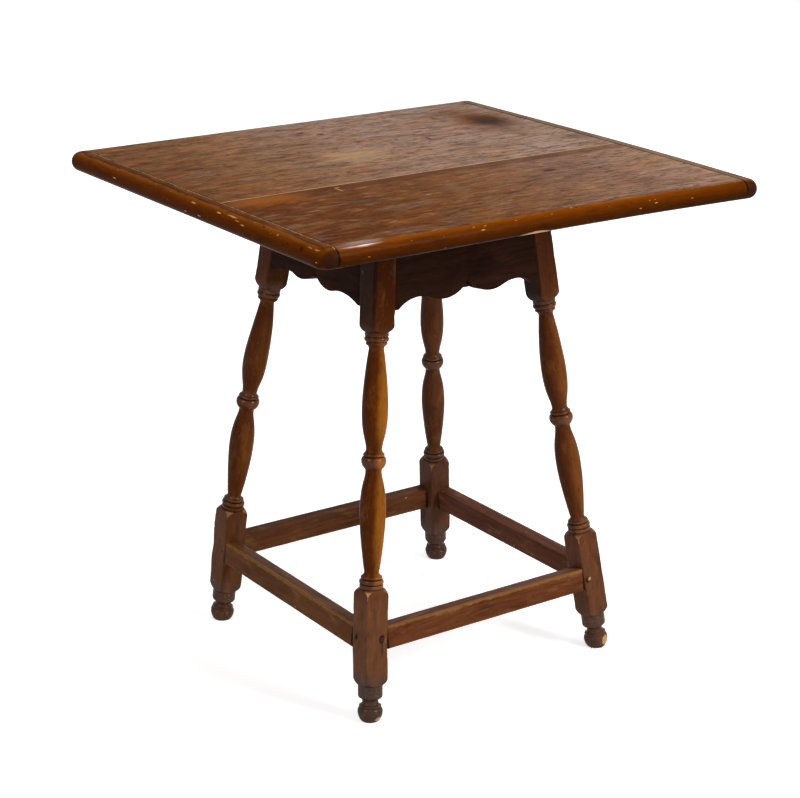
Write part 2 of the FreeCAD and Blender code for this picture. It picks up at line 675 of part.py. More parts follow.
def make_board(name, front, back, outer, tools):
    """Board along X between two Y places, with a nose on its outer edge and a tongue at each end."""
    body = new_body(name + "_planed")
    plan = new_sketch(body, "plan", "XY_Plane")
    rectangle(plan, "-board_half", "board_half", front, back)
    board = add_pad(body, plan, "top_thickness")
    edge = size(outer)
    add_fillet(body, board, "nose_radius", lambda p: abs(p.y - edge) < NEAR and abs(p.x) < 1)
    stops = {"seam_place": "seam_place", outer: "%s + tongue_stop" % outer}
    if outer == back:
        stops[outer] = "%s - tongue_stop" % outer
    tongues = new_sketch(body, "tongues", "XY_Plane")
    reach = "(board_half + tongue_length)"
    rectangle(tongues, "-" + reach, reach, stops[front], stops[back])
    add_pad(body, tongues, "tongue_thickness")
    body.setExpression("Placement", bound(place(z=TOP_PLACING)))
    return cut(name, body, tools)


def make_end(name, turn):
    """Breadboard end with a nose on three edges and a stopped groove for the boards' tongues."""
    body = new_body(name)
    plan = new_sketch(body, "plan", "XY_Plane")
    bend = "top_corner_radius"
    outline(plan, [
        ("line", "board_half", "-top_depth / 2"),
        ("line", "top_length / 2 - " + bend, "-top_depth / 2"),
        ("arc", "top_length / 2", "%s - top_depth / 2" % bend, bend, 1),
        ("line", "top_length / 2", "top_depth / 2 - " + bend),
        ("arc", "top_length / 2 - " + bend, "top_depth / 2", bend, 1),
        ("line", "board_half", "top_depth / 2"),
    ])
    strip = add_pad(body, plan, "top_thickness")
    seam = size("board_half")
    face = size("top_thickness / 2")
    add_fillet(body, strip, "nose_radius", lambda p: p.x > seam + NEAR and abs(abs(p.z) - face) < NEAR)
    groove = new_sketch(body, "groove", "XY_Plane")
    stop = "(top_depth / 2 - tongue_stop + tongue_fit)"
    rectangle(groove, "board_half - tongue_fit", "board_half + tongue_length + tongue_tip_gap",
              "-" + stop, stop)
    pocket = body.newObject("PartDesign::Pocket", "Pocket")
    pocket.Profile = groove
    pocket.SideType = "Symmetric"
    pocket.setExpression("Length", bound("tongue_thickness + 2 * tongue_fit"))
    body.setExpression("Placement", bound(place(z=TOP_PLACING, angle=str(turn))))
    return body


# ---- the table --------------------------------------------------------------------------------

slab = {"Length": "2 * top_length", "Width": "2 * top_depth", "Height": "leg_length"}
above_frame = add_primitive("Box", "above_frame", place("-top_length", "-top_depth", "underside"), **slab)
below_floor = add_primitive("Box", "below_floor", place("-top_length", "-top_depth", "-leg_length"), **slab)

pegs = {"apron": [], "stretcher": []}
peg_holes = {}
mortises = []
screws = []
screw_holes = {}
pilots = []
for side, turn, family in SIDES:
    for kind in pegs:
        mortises.append(make_mortises(kind, side, turn, family))
        peg_holes[kind, side] = []
        for end, hand in (("a", -1), ("b", 1)):
            placing = peg_placing(kind, turn, family, hand)
            pegs[kind].append(make_peg("%s_peg_%s_%s" % (kind, side, end), placing))
            peg_holes[kind, side].append(make_peg_hole("%s_peg_hole_%s_%s" % (kind, side, end), placing))
    screw_holes[side] = []
    for end, hand in (("a", -1), ("b", 1)) if family == "long" else (("a", 0),):
        placing = screw_placing(turn, family, hand)
        screws.append(make_screw("screw_%s_%s" % (side, end), placing))
        pilot, pocket = make_screw_holes("screw_%s_%s" % (side, end), placing)
        screw_holes[side] += [pilot, pocket]
        pilots.append(pilot)

joinery = join("MultiFuse", "joinery", mortises + sum(peg_holes.values(), []))
pieces = [make_leg("leg_" + name, along, back, [joinery, above_frame, below_floor])
          for name, along, back in CORNERS]
for side, turn, family in SIDES:
    pieces.append(make_rail("apron", side, turn, family,
                            [above_frame] + peg_holes["apron", side] + screw_holes[side]))
    pieces.append(make_rail("stretcher", side, turn, family, peg_holes["stretcher", side]))
pieces.append(make_board("top_board_front", "-top_depth / 2", "seam_place", "-top_depth / 2", pilots))
pieces.append(make_board("top_board_back", "seam_place", "top_depth / 2", "top_depth / 2", pilots))
pieces.append(make_end("breadboard_end_right", 0))
pieces.append(make_end("breadboard_end_left", 180))
pieces.append(join("Compound", "apron_pegs", pegs["apron"]))
pieces.append(join("Compound", "stretcher_pegs", pegs["stretcher"]))
pieces.append(join("Compound", "top_screws", screws))
doc.recompute()

failed = [item.Name for item in doc.Objects if {"Invalid", "Error"} & set(item.State)]
failed += [piece.Label for piece in pieces if piece.Shape.isNull() or not piece.Shape.isValid()]
if failed:
    raise RuntimeError("not built: " + ", ".join(failed))
os.makedirs("parts", exist_ok=True)
for piece in pieces:
    piece.Shape.exportStep("parts/%s.step" % piece.Label)
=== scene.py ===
import math

import bmesh
import bpy
from mathutils import Matrix, Vector, noise
from mathutils.geometry import interpolate_bezier


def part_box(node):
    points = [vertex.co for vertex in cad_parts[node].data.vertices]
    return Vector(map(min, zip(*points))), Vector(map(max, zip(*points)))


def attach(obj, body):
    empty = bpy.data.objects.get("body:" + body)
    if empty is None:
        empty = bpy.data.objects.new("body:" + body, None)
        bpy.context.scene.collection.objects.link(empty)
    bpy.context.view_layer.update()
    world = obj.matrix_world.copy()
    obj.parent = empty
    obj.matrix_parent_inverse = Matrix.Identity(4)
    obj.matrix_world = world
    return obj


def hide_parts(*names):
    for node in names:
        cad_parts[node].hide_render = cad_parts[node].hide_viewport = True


# Tavern table in metres: four splayed turned legs, shaped aprons, a box of stretchers and a
# two-board top between narrow breadboard ends. +Z up, +X along the boards, -Y the front.

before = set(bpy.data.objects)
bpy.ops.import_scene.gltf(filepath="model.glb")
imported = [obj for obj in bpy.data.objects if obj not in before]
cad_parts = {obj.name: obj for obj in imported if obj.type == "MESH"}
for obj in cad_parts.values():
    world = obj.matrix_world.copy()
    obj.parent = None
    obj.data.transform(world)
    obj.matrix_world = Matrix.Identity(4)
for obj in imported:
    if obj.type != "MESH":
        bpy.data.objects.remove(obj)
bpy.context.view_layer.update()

MM = 0.001
TABLE_HEIGHT = 0.700
UNDERSIDE = 0.673
HALF_LENGTH = 0.3485
HALF_DEPTH = 0.3285
THICKNESS = TABLE_HEIGHT - UNDERSIDE
NOSE_RADIUS = 0.01325
SEAM = -0.0565
JOINT = 0.3235


# ---- drawing with bmesh ----

def last_vertex(made):
    return next(item for item in made["geom_last"] if isinstance(item, bmesh.types.BMVert))


def draw_line(bm, corner, move, steps=1):
    """Chain of edges from a corner along a move; the new end is returned."""
    made = bmesh.ops.spin(bm, geom=[corner], axis=(0, 0, 1), angle=0.0, steps=steps,
                          dvec=Vector(move) / steps)
    return last_vertex(made)


def draw_arc(bm, corner, centre, axis, angle, steps):
    """Chain of edges from a corner round a centre."""
    made = bmesh.ops.spin(bm, geom=[corner], cent=centre, axis=axis, angle=angle, steps=steps)
    return last_vertex(made)


def turn_round(bm, steps, weld):
    """Turn an outline right round Z and weld what meets."""
    bmesh.ops.spin(bm, geom=bm.verts[:] + bm.edges[:], axis=(0, 0, 1), angle=math.tau, steps=steps,
                   use_merge=True)
    bmesh.ops.remove_doubles(bm, verts=bm.verts, dist=weld)


def slice_along(bm, axis, start, stop, spacing):
    """Cut across a piece at even places, so that it can take wear."""
    normal = Vector((0, 0, 0))
    normal[axis] = 1
    count = int((stop - start) / spacing)
    for step in range(1, count):
        place = normal * (start + (stop - start) * step / count)
        geometry = bm.verts[:] + bm.edges[:] + bm.faces[:]
        bmesh.ops.bisect_plane(bm, geom=geometry, dist=1e-6, plane_co=place, plane_no=normal)


def copy_of(node):
    """The frame's own piece as a clean bmesh of whole faces."""
    bm = bmesh.new()
    bm.from_mesh(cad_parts[node].data)
    bmesh.ops.remove_doubles(bm, verts=bm.verts, dist=2e-6)
    bmesh.ops.dissolve_limit(bm, angle_limit=math.radians(0.6), verts=bm.verts, edges=bm.edges,
                             use_dissolve_boundaries=False, delimit=set())
    return bm


def sharp_edges(bm, degrees):
    limit = math.radians(degrees)
    return [edge for edge in bm.edges if len(edge.link_faces) == 2 and edge.calc_face_angle(0) > limit]


def new_object(bm, name, finish):
    mesh = bpy.data.meshes.new(name)
    bm.to_mesh(mesh)
    bm.free()
    mesh.shade_smooth()
    mesh.materials.append(finish)
    piece = bpy.data.objects.new(name, mesh)
    bpy.context.scene.collection.objects.link(piece)
    return piece


def hand_over(bm, name, node, finish, smooth_below=40):
    """Turn a bmesh into a piece that stands for a node of the frame."""
    bmesh.ops.recalc_face_normals(bm, faces=bm.faces)
    piece = new_object(bm, name, finish)
    piece.data.set_sharp_from_angle(angle=math.radians(smooth_below))
    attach(piece, "root")
    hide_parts(node)


def uneven(place, spacing, seed):
    """Smooth random value between -1 and 1 that changes over a spacing."""
    return noise.noise(Vector(place) / spacing + Vector((seed * 7.3, seed * 3.1, seed * 5.7)))


# ---- paint box ----

ORIGIN = (0.0, 0.0, 0.0)
# A flat face's pointiness, a little lowered.
FLAT_FACE = 0.497
# The lowest height of a line that runs over the whole of a piece.
NO_LOWEST = -1.0


def tone(red, green, blue):
    """A colour written in 0-255 screen values, as the shader wants it."""
    def linear(value):
        value /= 255
        return value / 12.92 if value <= 0.04045 else ((value + 0.055) / 1.055) ** 2.4
    return (linear(red), linear(green), linear(blue), 1.0)


def put(tree, kind, feeds=None, **options):
    """Add a node, set its options and feed its inputs from sockets or plain values."""
    item = tree.nodes.new("ShaderNode" + kind)
    for option, value in options.items():
        setattr(item, option, value)
    for name, value in (feeds or {}).items():
        if isinstance(value, bpy.types.NodeSocket):
            tree.links.new(value, item.inputs[name])
        else:
            item.inputs[name].default_value = value
    return item


def calc(tree, operation, *values):
    return put(tree, "Math", dict(enumerate(values)), operation=operation).outputs[0]


def times(tree, one, other):
    return calc(tree, "MULTIPLY", one, other)


def calc_vector(tree, operation, *values):
    return put(tree, "VectorMath", dict(enumerate(values)), operation=operation).outputs[0]


def measure(tree, operation, *values):
    """A number from vectors: a length or a dot product."""
    return put(tree, "VectorMath", dict(enumerate(values)), operation=operation).outputs["Value"]


def split(tree, place):
    return put(tree, "SeparateXYZ", {"Vector": place}).outputs


def ease(tree, value, low, high, bottom=0.0, top=1.0):
    """The bottom value below low, the top value above high, smooth between."""
    feeds = {"Value": value, "From Min": low, "From Max": high, "To Min": bottom, "To Max": top}
    return put(tree, "MapRange", feeds, interpolation_type="SMOOTHSTEP").outputs["Result"]


def centred(tree, value, reach):
    """A value from 0 to 1 made one from minus to plus half a reach."""
    return calc(tree, "MULTIPLY_ADD", value, reach, -reach / 2)


def tint(tree, amount, colour, shade):
    return put(tree, "Mix", {0: amount, 6: colour, 7: shade}, data_type="RGBA").outputs[2]


def paint(tree, mask, strength, colour, shade):
    return tint(tree, times(tree, mask, strength), colour, shade)


def dim(tree, colour, amount):
    return put(tree, "VectorMath", {0: colour, "Scale": amount}, operation="SCALE").outputs[0]


def stretch(tree, place, along, across):
    """Coordinates whose noise runs long along the grain and narrow across it."""
    spread = put(tree, "CombineXYZ", {"X": along, "Y": across, "Z": across}).outputs[0]
    return calc_vector(tree, "MULTIPLY", place, spread)


def cloud(tree, place, scale=1.0, detail=2.0, roughness=0.5, distortion=0.0):
    feeds = {"Vector": place, "Scale": scale, "Detail": detail, "Roughness": roughness,
             "Distortion": distortion}
    return put(tree, "TexNoise", feeds).outputs["Fac"]


def ramp(tree, value, stops):
    item = put(tree, "ValToRGB", {"Fac": value})
    points = item.color_ramp.elements
    for spot, shade in stops[1:-1]:
        points.new(spot).color = shade
    points[0].position, points[0].color = stops[0]
    points[len(stops) - 1].position, points[len(stops) - 1].color = stops[-1]
    return item.outputs["Color"]


def new_finish(name):
    finish = bpy.data.materials.new(name)
    finish.use_nodes = True
    finish.node_tree.nodes.clear()
    return finish, finish.node_tree


def show(tree, shader, output="OutputMaterial"):
    tree.links.new(shader.outputs[0], put(tree, output).inputs["Surface"])


# ---- effects that the finishes share ----

def new_group(name, inputs, outputs):
    """Node group with its inputs' usual values: its tree, its inside inputs and its inside outputs."""
    tree = bpy.data.node_groups.new(name, "ShaderNodeTree")
    for socket, value in inputs.items():
        kind = "NodeSocketVector" if isinstance(value, tuple) else "NodeSocketFloat"
        tree.interface.new_socket(socket, in_out="INPUT", socket_type=kind).default_value = value
    for socket in outputs:
        tree.interface.new_socket(socket, in_out="OUTPUT", socket_type="NodeSocketFloat")
    return tree, tree.nodes.new("NodeGroupInput").outputs, tree.nodes.new("NodeGroupOutput").inputs


def use_group(tree, group, *values):
    """A group's outputs, with its inputs fed in their order."""
    return put(tree, "Group", dict(enumerate(values)), node_tree=group).outputs


def grain_group():
    """Fibres, broad figure, thin dark streaks and open pores of wood whose grain runs along x."""
    tree, given, wanted = new_group(
        "wood_grain", {"Place": ORIGIN, "Fibre Width": 1.4, "Figure Width": 16.0, "Shorten": 1.0},
        ("Fibre", "Figure", "Streaks", "Pores"))
    waver = centred(tree, cloud(tree, stretch(tree, given["Place"], 5.0, 8.0)), 0.03)
    sideways = put(tree, "CombineXYZ", {"Y": waver, "Z": waver}).outputs[0]
    bent = calc_vector(tree, "ADD", given["Place"], sideways)
    fibre_across = calc(tree, "DIVIDE", 1000.0, given["Fibre Width"])
    figure_across = calc(tree, "DIVIDE", 1000.0, given["Figure Width"])
    for layer, along, across, detail, roughness, distortion, low, high in (
            ("Fibre", 22.0, fibre_across, 3.0, 0.6, 0.0, 0.34, 0.66),
            ("Figure", 6.0, figure_across, 4.0, 0.6, 0.5, 0.36, 0.64),
            ("Streaks", 12.0, 260.0, 4.0, 0.65, 0.4, 0.54, 0.66)):
        shortened = times(tree, given["Shorten"], along)
        drift = cloud(tree, stretch(tree, bent, shortened, across), 1.0, detail, roughness, distortion)
        tree.links.new(ease(tree, drift, low, high), wanted[layer])
    pores = cloud(tree, stretch(tree, bent, 90.0, 1500.0), detail=1.0)
    tree.links.new(ease(tree, pores, 0.60, 0.72), wanted["Pores"])
    return tree


def wear_group():
    """Where hands and feet rub: convex edges first, in patches; hollows gather grime and painted shade."""
    tree, given, wanted = new_group(
        "edge_wear", {"Place": ORIGIN, "Edge": 0.5, "Start": 0.52, "Full": 0.6, "Hollow": 0.44},
        ("Worn", "Grime And Shade"))
    rough = centred(tree, cloud(tree, given["Place"], 60.0, 4.0, 0.65), 0.16)
    edge = calc(tree, "ADD", given["Edge"], rough)
    tree.links.new(ease(tree, edge, given["Start"], given["Full"]), wanted["Worn"])
    tree.links.new(ease(tree, given["Edge"], FLAT_FACE, given["Hollow"]), wanted["Grime And Shade"])
    return tree


def mark_group():
    """One ragged spot at a place: knot, stain, chip or dent."""
    tree, given, wanted = new_group(
        "ragged_mark", {"Place": ORIGIN, "Centre": ORIGIN, "Size": (0.01, 0.01, 0.01), "Ragged": 0.5,
                        "Soft": 0.4}, ("Mark",))
    away = calc_vector(tree, "SUBTRACT", given["Place"], given["Centre"])
    away = calc_vector(tree, "DIVIDE", away, given["Size"])
    edge = calc(tree, "SUBTRACT", cloud(tree, away, 1.7, 4.0, 0.65), 0.5)
    distance = calc(tree, "MULTIPLY_ADD", edge, given["Ragged"], measure(tree, "LENGTH", away))
    outside = ease(tree, distance, calc(tree, "SUBTRACT", 1.0, given["Soft"]), 1.0)
    tree.links.new(calc(tree, "SUBTRACT", 1.0, outside), wanted["Mark"])
    return tree


def line_group():
    """A broken line across a piece where one coordinate passes a value: a joint or a rubbed arris."""
    tree, given, wanted = new_group(
        "broken_line", {"Place": ORIGIN, "Across": (1.0, 0.0, 0.0), "Where": 0.0, "Width": 0.001,
                        "Broken": 0.5, "Lowest": NO_LOWEST}, ("Line",))
    reached = measure(tree, "DOT_PRODUCT", given["Place"], given["Across"])
    distance = calc(tree, "ABSOLUTE", calc(tree, "SUBTRACT", reached, given["Where"]))
    gaps = calc(tree, "SUBTRACT", cloud(tree, given["Place"], 110.0, 3.0, 0.7), 0.5)
    gaps = times(tree, gaps, times(tree, given["Broken"], 5.0))
    share = calc(tree, "ADD", calc(tree, "DIVIDE", distance, given["Width"]), gaps)
    above = calc(tree, "GREATER_THAN", split(tree, given["Place"])["Z"], given["Lowest"])
    tree.links.new(times(tree, ease(tree, share, 1.0, 0.5), above), wanted["Line"])
    return tree


def fleck_group():
    """Scattered small flecks, longer along the grain, each with its own size."""
    tree, given, wanted = new_group(
        "scattered_flecks", {"Place": ORIGIN, "Spacing": 20.0, "Length": 2.0, "Share": 0.2, "Size": 0.15},
        ("Flecks",))
    place = stretch(tree, given["Place"], calc(tree, "DIVIDE", 1.0, given["Length"]), 1.0)
    scale = calc(tree, "DIVIDE", 1000.0, given["Spacing"])
    ragged = cloud(tree, place, times(tree, scale, 4.0), 2.0, 0.7)
    cells = put(tree, "TexVoronoi", {"Vector": place, "Scale": scale, "Randomness": 1.0}).outputs
    chance = put(tree, "SeparateColor", {"Color": cells["Color"]}).outputs
    size = times(tree, given["Size"], calc(tree, "MULTIPLY_ADD", chance["Green"], 1.1, 0.15))
    distance = calc(tree, "MULTIPLY_ADD", calc(tree, "SUBTRACT", ragged, 0.5), size, cells["Distance"])
    inside = ease(tree, distance, size, times(tree, size, 0.6))
    chosen = calc(tree, "LESS_THAN", chance["Red"], given["Share"])
    tree.links.new(times(tree, inside, chosen), wanted["Flecks"])
    return tree


def nose_group():
    """1 on the top's rounded edge and 0 on its flat faces, the lip between, and how far down it is."""
    tree, given, wanted = new_group("rounded_edge", {"Place": ORIGIN}, ("Nose", "Lip", "Down"))
    parts = split(tree, given["Place"])
    from_end = calc(tree, "SUBTRACT", HALF_LENGTH, calc(tree, "ABSOLUTE", parts["X"]))
    from_front = calc(tree, "SUBTRACT", HALF_DEPTH, calc(tree, "ABSOLUTE", parts["Y"]))
    ragged = centred(tree, cloud(tree, given["Place"], 45.0, 4.0, 0.7), 0.010)
    inward = calc(tree, "ADD", calc(tree, "MINIMUM", from_end, from_front), ragged)
    from_lip = calc(tree, "ABSOLUTE", calc(tree, "SUBTRACT", inward, 0.013))
    below_top = calc(tree, "SUBTRACT", TABLE_HEIGHT, parts["Z"])
    tree.links.new(ease(tree, inward, 0.0125, 0.0075), wanted["Nose"])
    tree.links.new(ease(tree, from_lip, 0.0016, 0.0004), wanted["Lip"])
    tree.links.new(calc(tree, "DIVIDE", below_top, THICKNESS), wanted["Down"])
    return tree


GRAIN = grain_group()
WEAR = wear_group()
MARK = mark_group()
LINE = line_group()
FLECKS = fleck_group()
NOSE = nose_group()


# ---- varnished wood ----

# Heights up a leg between which its turning gets painted side highlight and shade, each as where it starts
# and where it is full.
LIT_BOTTOM = (0.17, 0.20)
LIT_TOP = (0.53, 0.50)
SIDE_HIGHLIGHT = tone(164, 98, 26)
SIDE_SHADE = tone(58, 26, 8)
# The lower block's worn facets, which get a painted highlight: their band of heights, and the measures that
# tell them from the sides.
FACET_BOTTOM = (0.1685, 0.1705)
FACET_TOP = (0.182, 0.178)
FACET_REACH = (0.0171, 0.0166)
FACET_DIAGONAL = (0.0235, 0.0255)
FACET_HIGHLIGHT = tone(200, 150, 104)


def paint_lit_side(tree, place, moved, along, lit_side, colour):
    """Turning with a painted amber highlight on one side and painted shade on the other, and painted
    highlights on the worn facets below.
    """
    facing, strength, shoulder = lit_side
    side = measure(tree, "DOT_PRODUCT", place, (0, *facing))
    side = calc(tree, "ADD", side, centred(tree, cloud(tree, moved, 60.0, 3.0), 0.008))
    turned = times(tree, ease(tree, along, *LIT_BOTTOM), ease(tree, along, *LIT_TOP))
    # painted highlight on one side of the turning, painted shade on the other
    colour = paint(tree, ease(tree, side, 0.004, 0.014, 0.0, strength), turned, colour, SIDE_HIGHLIGHT)
    colour = paint(tree, ease(tree, side, 0.0, -0.012, 0.0, 0.6), turned, colour, SIDE_SHADE)
    parts = split(tree, calc_vector(tree, "SUBTRACT", place, shoulder))
    wide, deep = (calc(tree, "ABSOLUTE", parts[name]) for name in "YZ")
    band = times(tree, ease(tree, parts["X"], *FACET_BOTTOM), ease(tree, parts["X"], *FACET_TOP))
    band = times(tree, ease(tree, calc(tree, "MAXIMUM", wide, deep), *FACET_REACH), band)
    facet = ease(tree, calc(tree, "ADD", wide, deep), *FACET_DIAGONAL, 0.0, 0.8)
    # painted highlight on the worn facets
    return paint(tree, facet, band, colour, FACET_HIGHLIGHT)


def sprinkle(tree, moved, flecks, colour, height, within=None):
    """Flecks: (tone, spacing, length, share, size, strength, depth)."""
    for shade, spacing, length, share, size, strength, depth in flecks:
        spots = use_group(tree, FLECKS, moved, spacing, length, share, size)["Flecks"]
        if within is not None:
            spots = times(tree, spots, within)
        colour = paint(tree, spots, strength, colour, shade)
        height = calc(tree, "MULTIPLY_ADD", spots, -depth, height)
    return colour, height


def varnish_and_shade_nose(tree, own, moved, fibre, nose, polished, colour, gloss, height):
    """The top's rounded edge: varnish painted lighter amber at its top as a highlight and darker below as
    shade, with a dark lip, smears and chips.
    """
    edge = use_group(tree, NOSE, own)
    lit_and_shaded = ramp(tree, edge["Down"], nose["stops"])
    lit_and_shaded = dim(tree, lit_and_shaded, calc(tree, "MULTIPLY_ADD", fibre, 0.2, 0.88))
    smear = cloud(tree, stretch(tree, moved, 20.0, 70.0), 1.0, 4.0, 0.6)
    lit_and_shaded = tint(tree, ease(tree, smear, 0.48, 0.72, 0.0, 0.45), lit_and_shaded, nose["dark"])
    colour = paint(tree, edge["Lip"], 0.45, colour, nose["dark"])
    colour = tint(tree, edge["Nose"], colour, lit_and_shaded)
    gloss = put(tree, "Mix", {0: edge["Nose"], 2: gloss, 3: nose["roughness"]}).outputs[0]
    coat = times(tree, ease(tree, edge["Down"], 0.7, 0.4, 0.0, nose["coat"]), edge["Nose"])
    if polished is not None:
        centre, size, strength = polished
        shine = use_group(tree, MARK, own, centre, size, 0.5, 0.7)["Mark"]
        coat = calc(tree, "MULTIPLY_ADD", shine, strength, coat)
    colour, height = sprinkle(tree, moved, nose["chips"], colour, height, edge["Nose"])
    return colour, gloss, coat, height


def wood(name, look, seed, turn=None, shift=ORIGIN, marks=(), lines=(), lit_side=None, cast=None,
         polished=None):
    """Old varnished wood. A look says:

    zones: lowest and highest place along the grain, blur, and (share, tone) stops between them.
    patches: (tone, spread along, spread across, low, high, strength).
    vary: how much the figure, fibre, streaks and pores show.
    wear: where rubbing starts, where it is full, and its strength.  hollow: where grime and painted shade are
    full, strength.
    shine: (share, coat) stops up a leg.  nose: the finish of the top's rounded edge.

    Marks are (centre, size, tone, strength, ragged, soft, depth), and lines (across, where, width, broken,
    lowest, tone, strength), in the leg's own coordinates where a shift is given.
    """
    finish, tree = new_finish(name)
    own = put(tree, "TexCoord").outputs["Object"]
    place = own
    if turn is not None:
        feeds = {"Vector": own, "Rotation": turn.to_euler("XYZ"), "Location": shift}
        place = put(tree, "Mapping", feeds).outputs[0]
    if shift != ORIGIN:
        own = place
    moved = calc_vector(tree, "ADD", place, (seed * 1.7, seed * 0.9, seed * 0.6))
    low, high, blur, stops = look["zones"]
    along = calc(tree, "ADD", split(tree, place)["X"], centred(tree, cloud(tree, moved, 22.0, 3.0), blur))
    colour = ramp(tree, calc(tree, "DIVIDE", calc(tree, "SUBTRACT", along, low), high - low), stops)
    if lit_side is not None:
        colour = paint_lit_side(tree, place, moved, along, lit_side, colour)
    if cast is not None:
        colour = tint(tree, cast[1], colour, cast[0])
    for index, (shade, spread_along, spread_across, start, full, strength) in enumerate(look["patches"]):
        spot = calc_vector(tree, "ADD", moved, (index * 3.7 + 1.3,) * 3)
        amount = cloud(tree, stretch(tree, spot, spread_along, spread_across), 1.0, 4.0, 0.62)
        colour = tint(tree, ease(tree, amount, start, full, 0.0, strength), colour, shade)
    grain = use_group(tree, GRAIN, moved, look["fibre"], look["figure"], look["shorten"])
    show_figure, show_fibre, show_streaks, show_pores = look["vary"]
    light = calc(tree, "MULTIPLY_ADD", grain["Figure"], show_figure, 1 - show_figure / 2)
    light = calc(tree, "ADD", light, centred(tree, grain["Fibre"], show_fibre))
    light = calc(tree, "MULTIPLY_ADD", grain["Streaks"], -show_streaks, light)
    light = calc(tree, "MULTIPLY_ADD", grain["Pores"], -show_pores, light)
    colour = dim(tree, colour, light)
    height = times(tree, grain["Pores"], -0.10)
    height = calc(tree, "MULTIPLY_ADD", grain["Fibre"], 0.04, height)
    height = calc(tree, "MULTIPLY_ADD", cloud(tree, moved, 70.0, 3.0), 0.3, height)
    gloss = calc(tree, "MULTIPLY_ADD", grain["Figure"], -0.08, look["roughness"] + 0.04)
    coat = 0.0
    if "shine" in look:
        levels = [(share, (level, level, level, 1)) for share, level in look["shine"]]
        coat = ramp(tree, calc(tree, "DIVIDE", along, high), levels)
    if "nose" in look:
        colour, gloss, coat, height = varnish_and_shade_nose(tree, own, moved, grain["Fibre"], look["nose"], polished,
                                                   colour, gloss, height)
    colour, height = sprinkle(tree, moved, look["flecks"], colour, height)
    start, full, strength = look["wear"]
    hollow, grime_and_shade_strength = look["hollow"]
    edge = put(tree, "NewGeometry").outputs["Pointiness"]
    rubbed = use_group(tree, WEAR, moved, edge, start, full, hollow)
    colour = paint(tree, rubbed["Worn"], strength, colour, look["worn"])
    # grime and painted shade in the hollows
    colour = paint(tree, rubbed["Grime And Shade"], grime_and_shade_strength, colour, look["grime_and_shade"])
    for *run, shade, strength in lines:
        colour = paint(tree, use_group(tree, LINE, own, *run)["Line"], strength, colour, shade)
    for centre, size, shade, strength, ragged, soft, depth in marks:
        spot = use_group(tree, MARK, own, centre, size, ragged, soft)["Mark"]
        colour = paint(tree, spot, strength, colour, shade)
        if depth:
            height = calc(tree, "MULTIPLY_ADD", spot, -depth, height)
    bump = put(tree, "Bump", {"Strength": 0.8, "Distance": MM, "Height": height}).outputs[0]
    show(tree, put(tree, "BsdfPrincipled", {
        "Base Color": colour, "Roughness": gloss, "Normal": bump, "Specular IOR Level": look["specular"],
        "Coat Weight": coat, "Coat Roughness": 0.09, "Coat IOR": 2.0}))
    return finish


# ---- looks ----

ALONG_Y = Matrix(((0, 1, 0), (-1, 0, 0), (0, 0, 1)))
ALONG_Z = Matrix(((0, 0, 1), (1, 0, 0), (0, 1, 0)))

PALE_WOOD = tone(204, 162, 108)
LEG_LOOK = {
    "zones": (0.0, 0.69, 0.012, (
        (0.0, tone(74, 52, 40)), (0.075, tone(72, 50, 36)), (0.10, tone(106, 66, 42)),
        (0.235, tone(106, 64, 38)), (0.275, tone(84, 38, 5)), (0.50, tone(84, 37, 4)),
        (0.73, tone(82, 35, 3)), (0.775, tone(74, 33, 6)), (0.82, tone(66, 28, 5)), (1.0, tone(56, 24, 5)))),
    "shine": ((0.0, 0.08), (0.045, 0.06), (0.05, 0.12), (0.08, 0.10), (0.10, 0.01), (0.262, 0.02),
              (0.266, 0.11), (0.288, 0.11), (0.292, 0.008), (0.497, 0.008), (0.502, 0.10), (0.527, 0.10),
              (0.532, 0.008), (0.736, 0.008), (0.742, 0.09), (0.76, 0.09), (0.78, 0.002), (1.0, 0.002)),
    "patches": ((tone(58, 29, 13), 20, 42, 0.50, 0.72, 0.45), (tone(140, 84, 34), 28, 60, 0.52, 0.74, 0.35),
                (tone(56, 28, 14), 120, 260, 0.54, 0.72, 0.35),
                (tone(150, 100, 56), 130, 260, 0.58, 0.74, 0.16)),
    "flecks": ((PALE_WOOD, 12, 2.5, 0.04, 0.10, 0.7, 0.2), (tone(26, 13, 8), 10, 3.0, 0.10, 0.10, 0.7, 0.3)),
    "vary": (0.22, 0.10, 0.16, 0.12), "fibre": 1.0, "figure": 8.0, "shorten": 2.2,
    "worn": tone(166, 112, 58), "wear": (0.54, 0.63, 0.6), "grime_and_shade": tone(20, 10, 6), "hollow": (0.44, 0.9),
    "roughness": 0.28, "specular": 0.018}
APRON_LOOK = {
    "zones": (-0.2, 0.2, 0.03, ((0.0, tone(42, 25, 18)), (0.5, tone(46, 26, 18)), (1.0, tone(40, 24, 19)))),
    "patches": ((tone(22, 13, 11), 10, 22, 0.48, 0.70, 0.6), (tone(72, 38, 24), 12, 40, 0.55, 0.72, 0.4)),
    "flecks": ((tone(120, 90, 60), 14, 3.0, 0.04, 0.08, 0.6, 0.1),),
    "vary": (0.3, 0.2, 0.3, 0.2), "fibre": 1.5, "figure": 12.0, "shorten": 1.0,
    "worn": tone(112, 78, 54), "wear": (0.56, 0.66, 0.5), "grime_and_shade": tone(10, 6, 5), "hollow": (0.44, 0.6),
    "roughness": 0.5, "specular": 0.006}
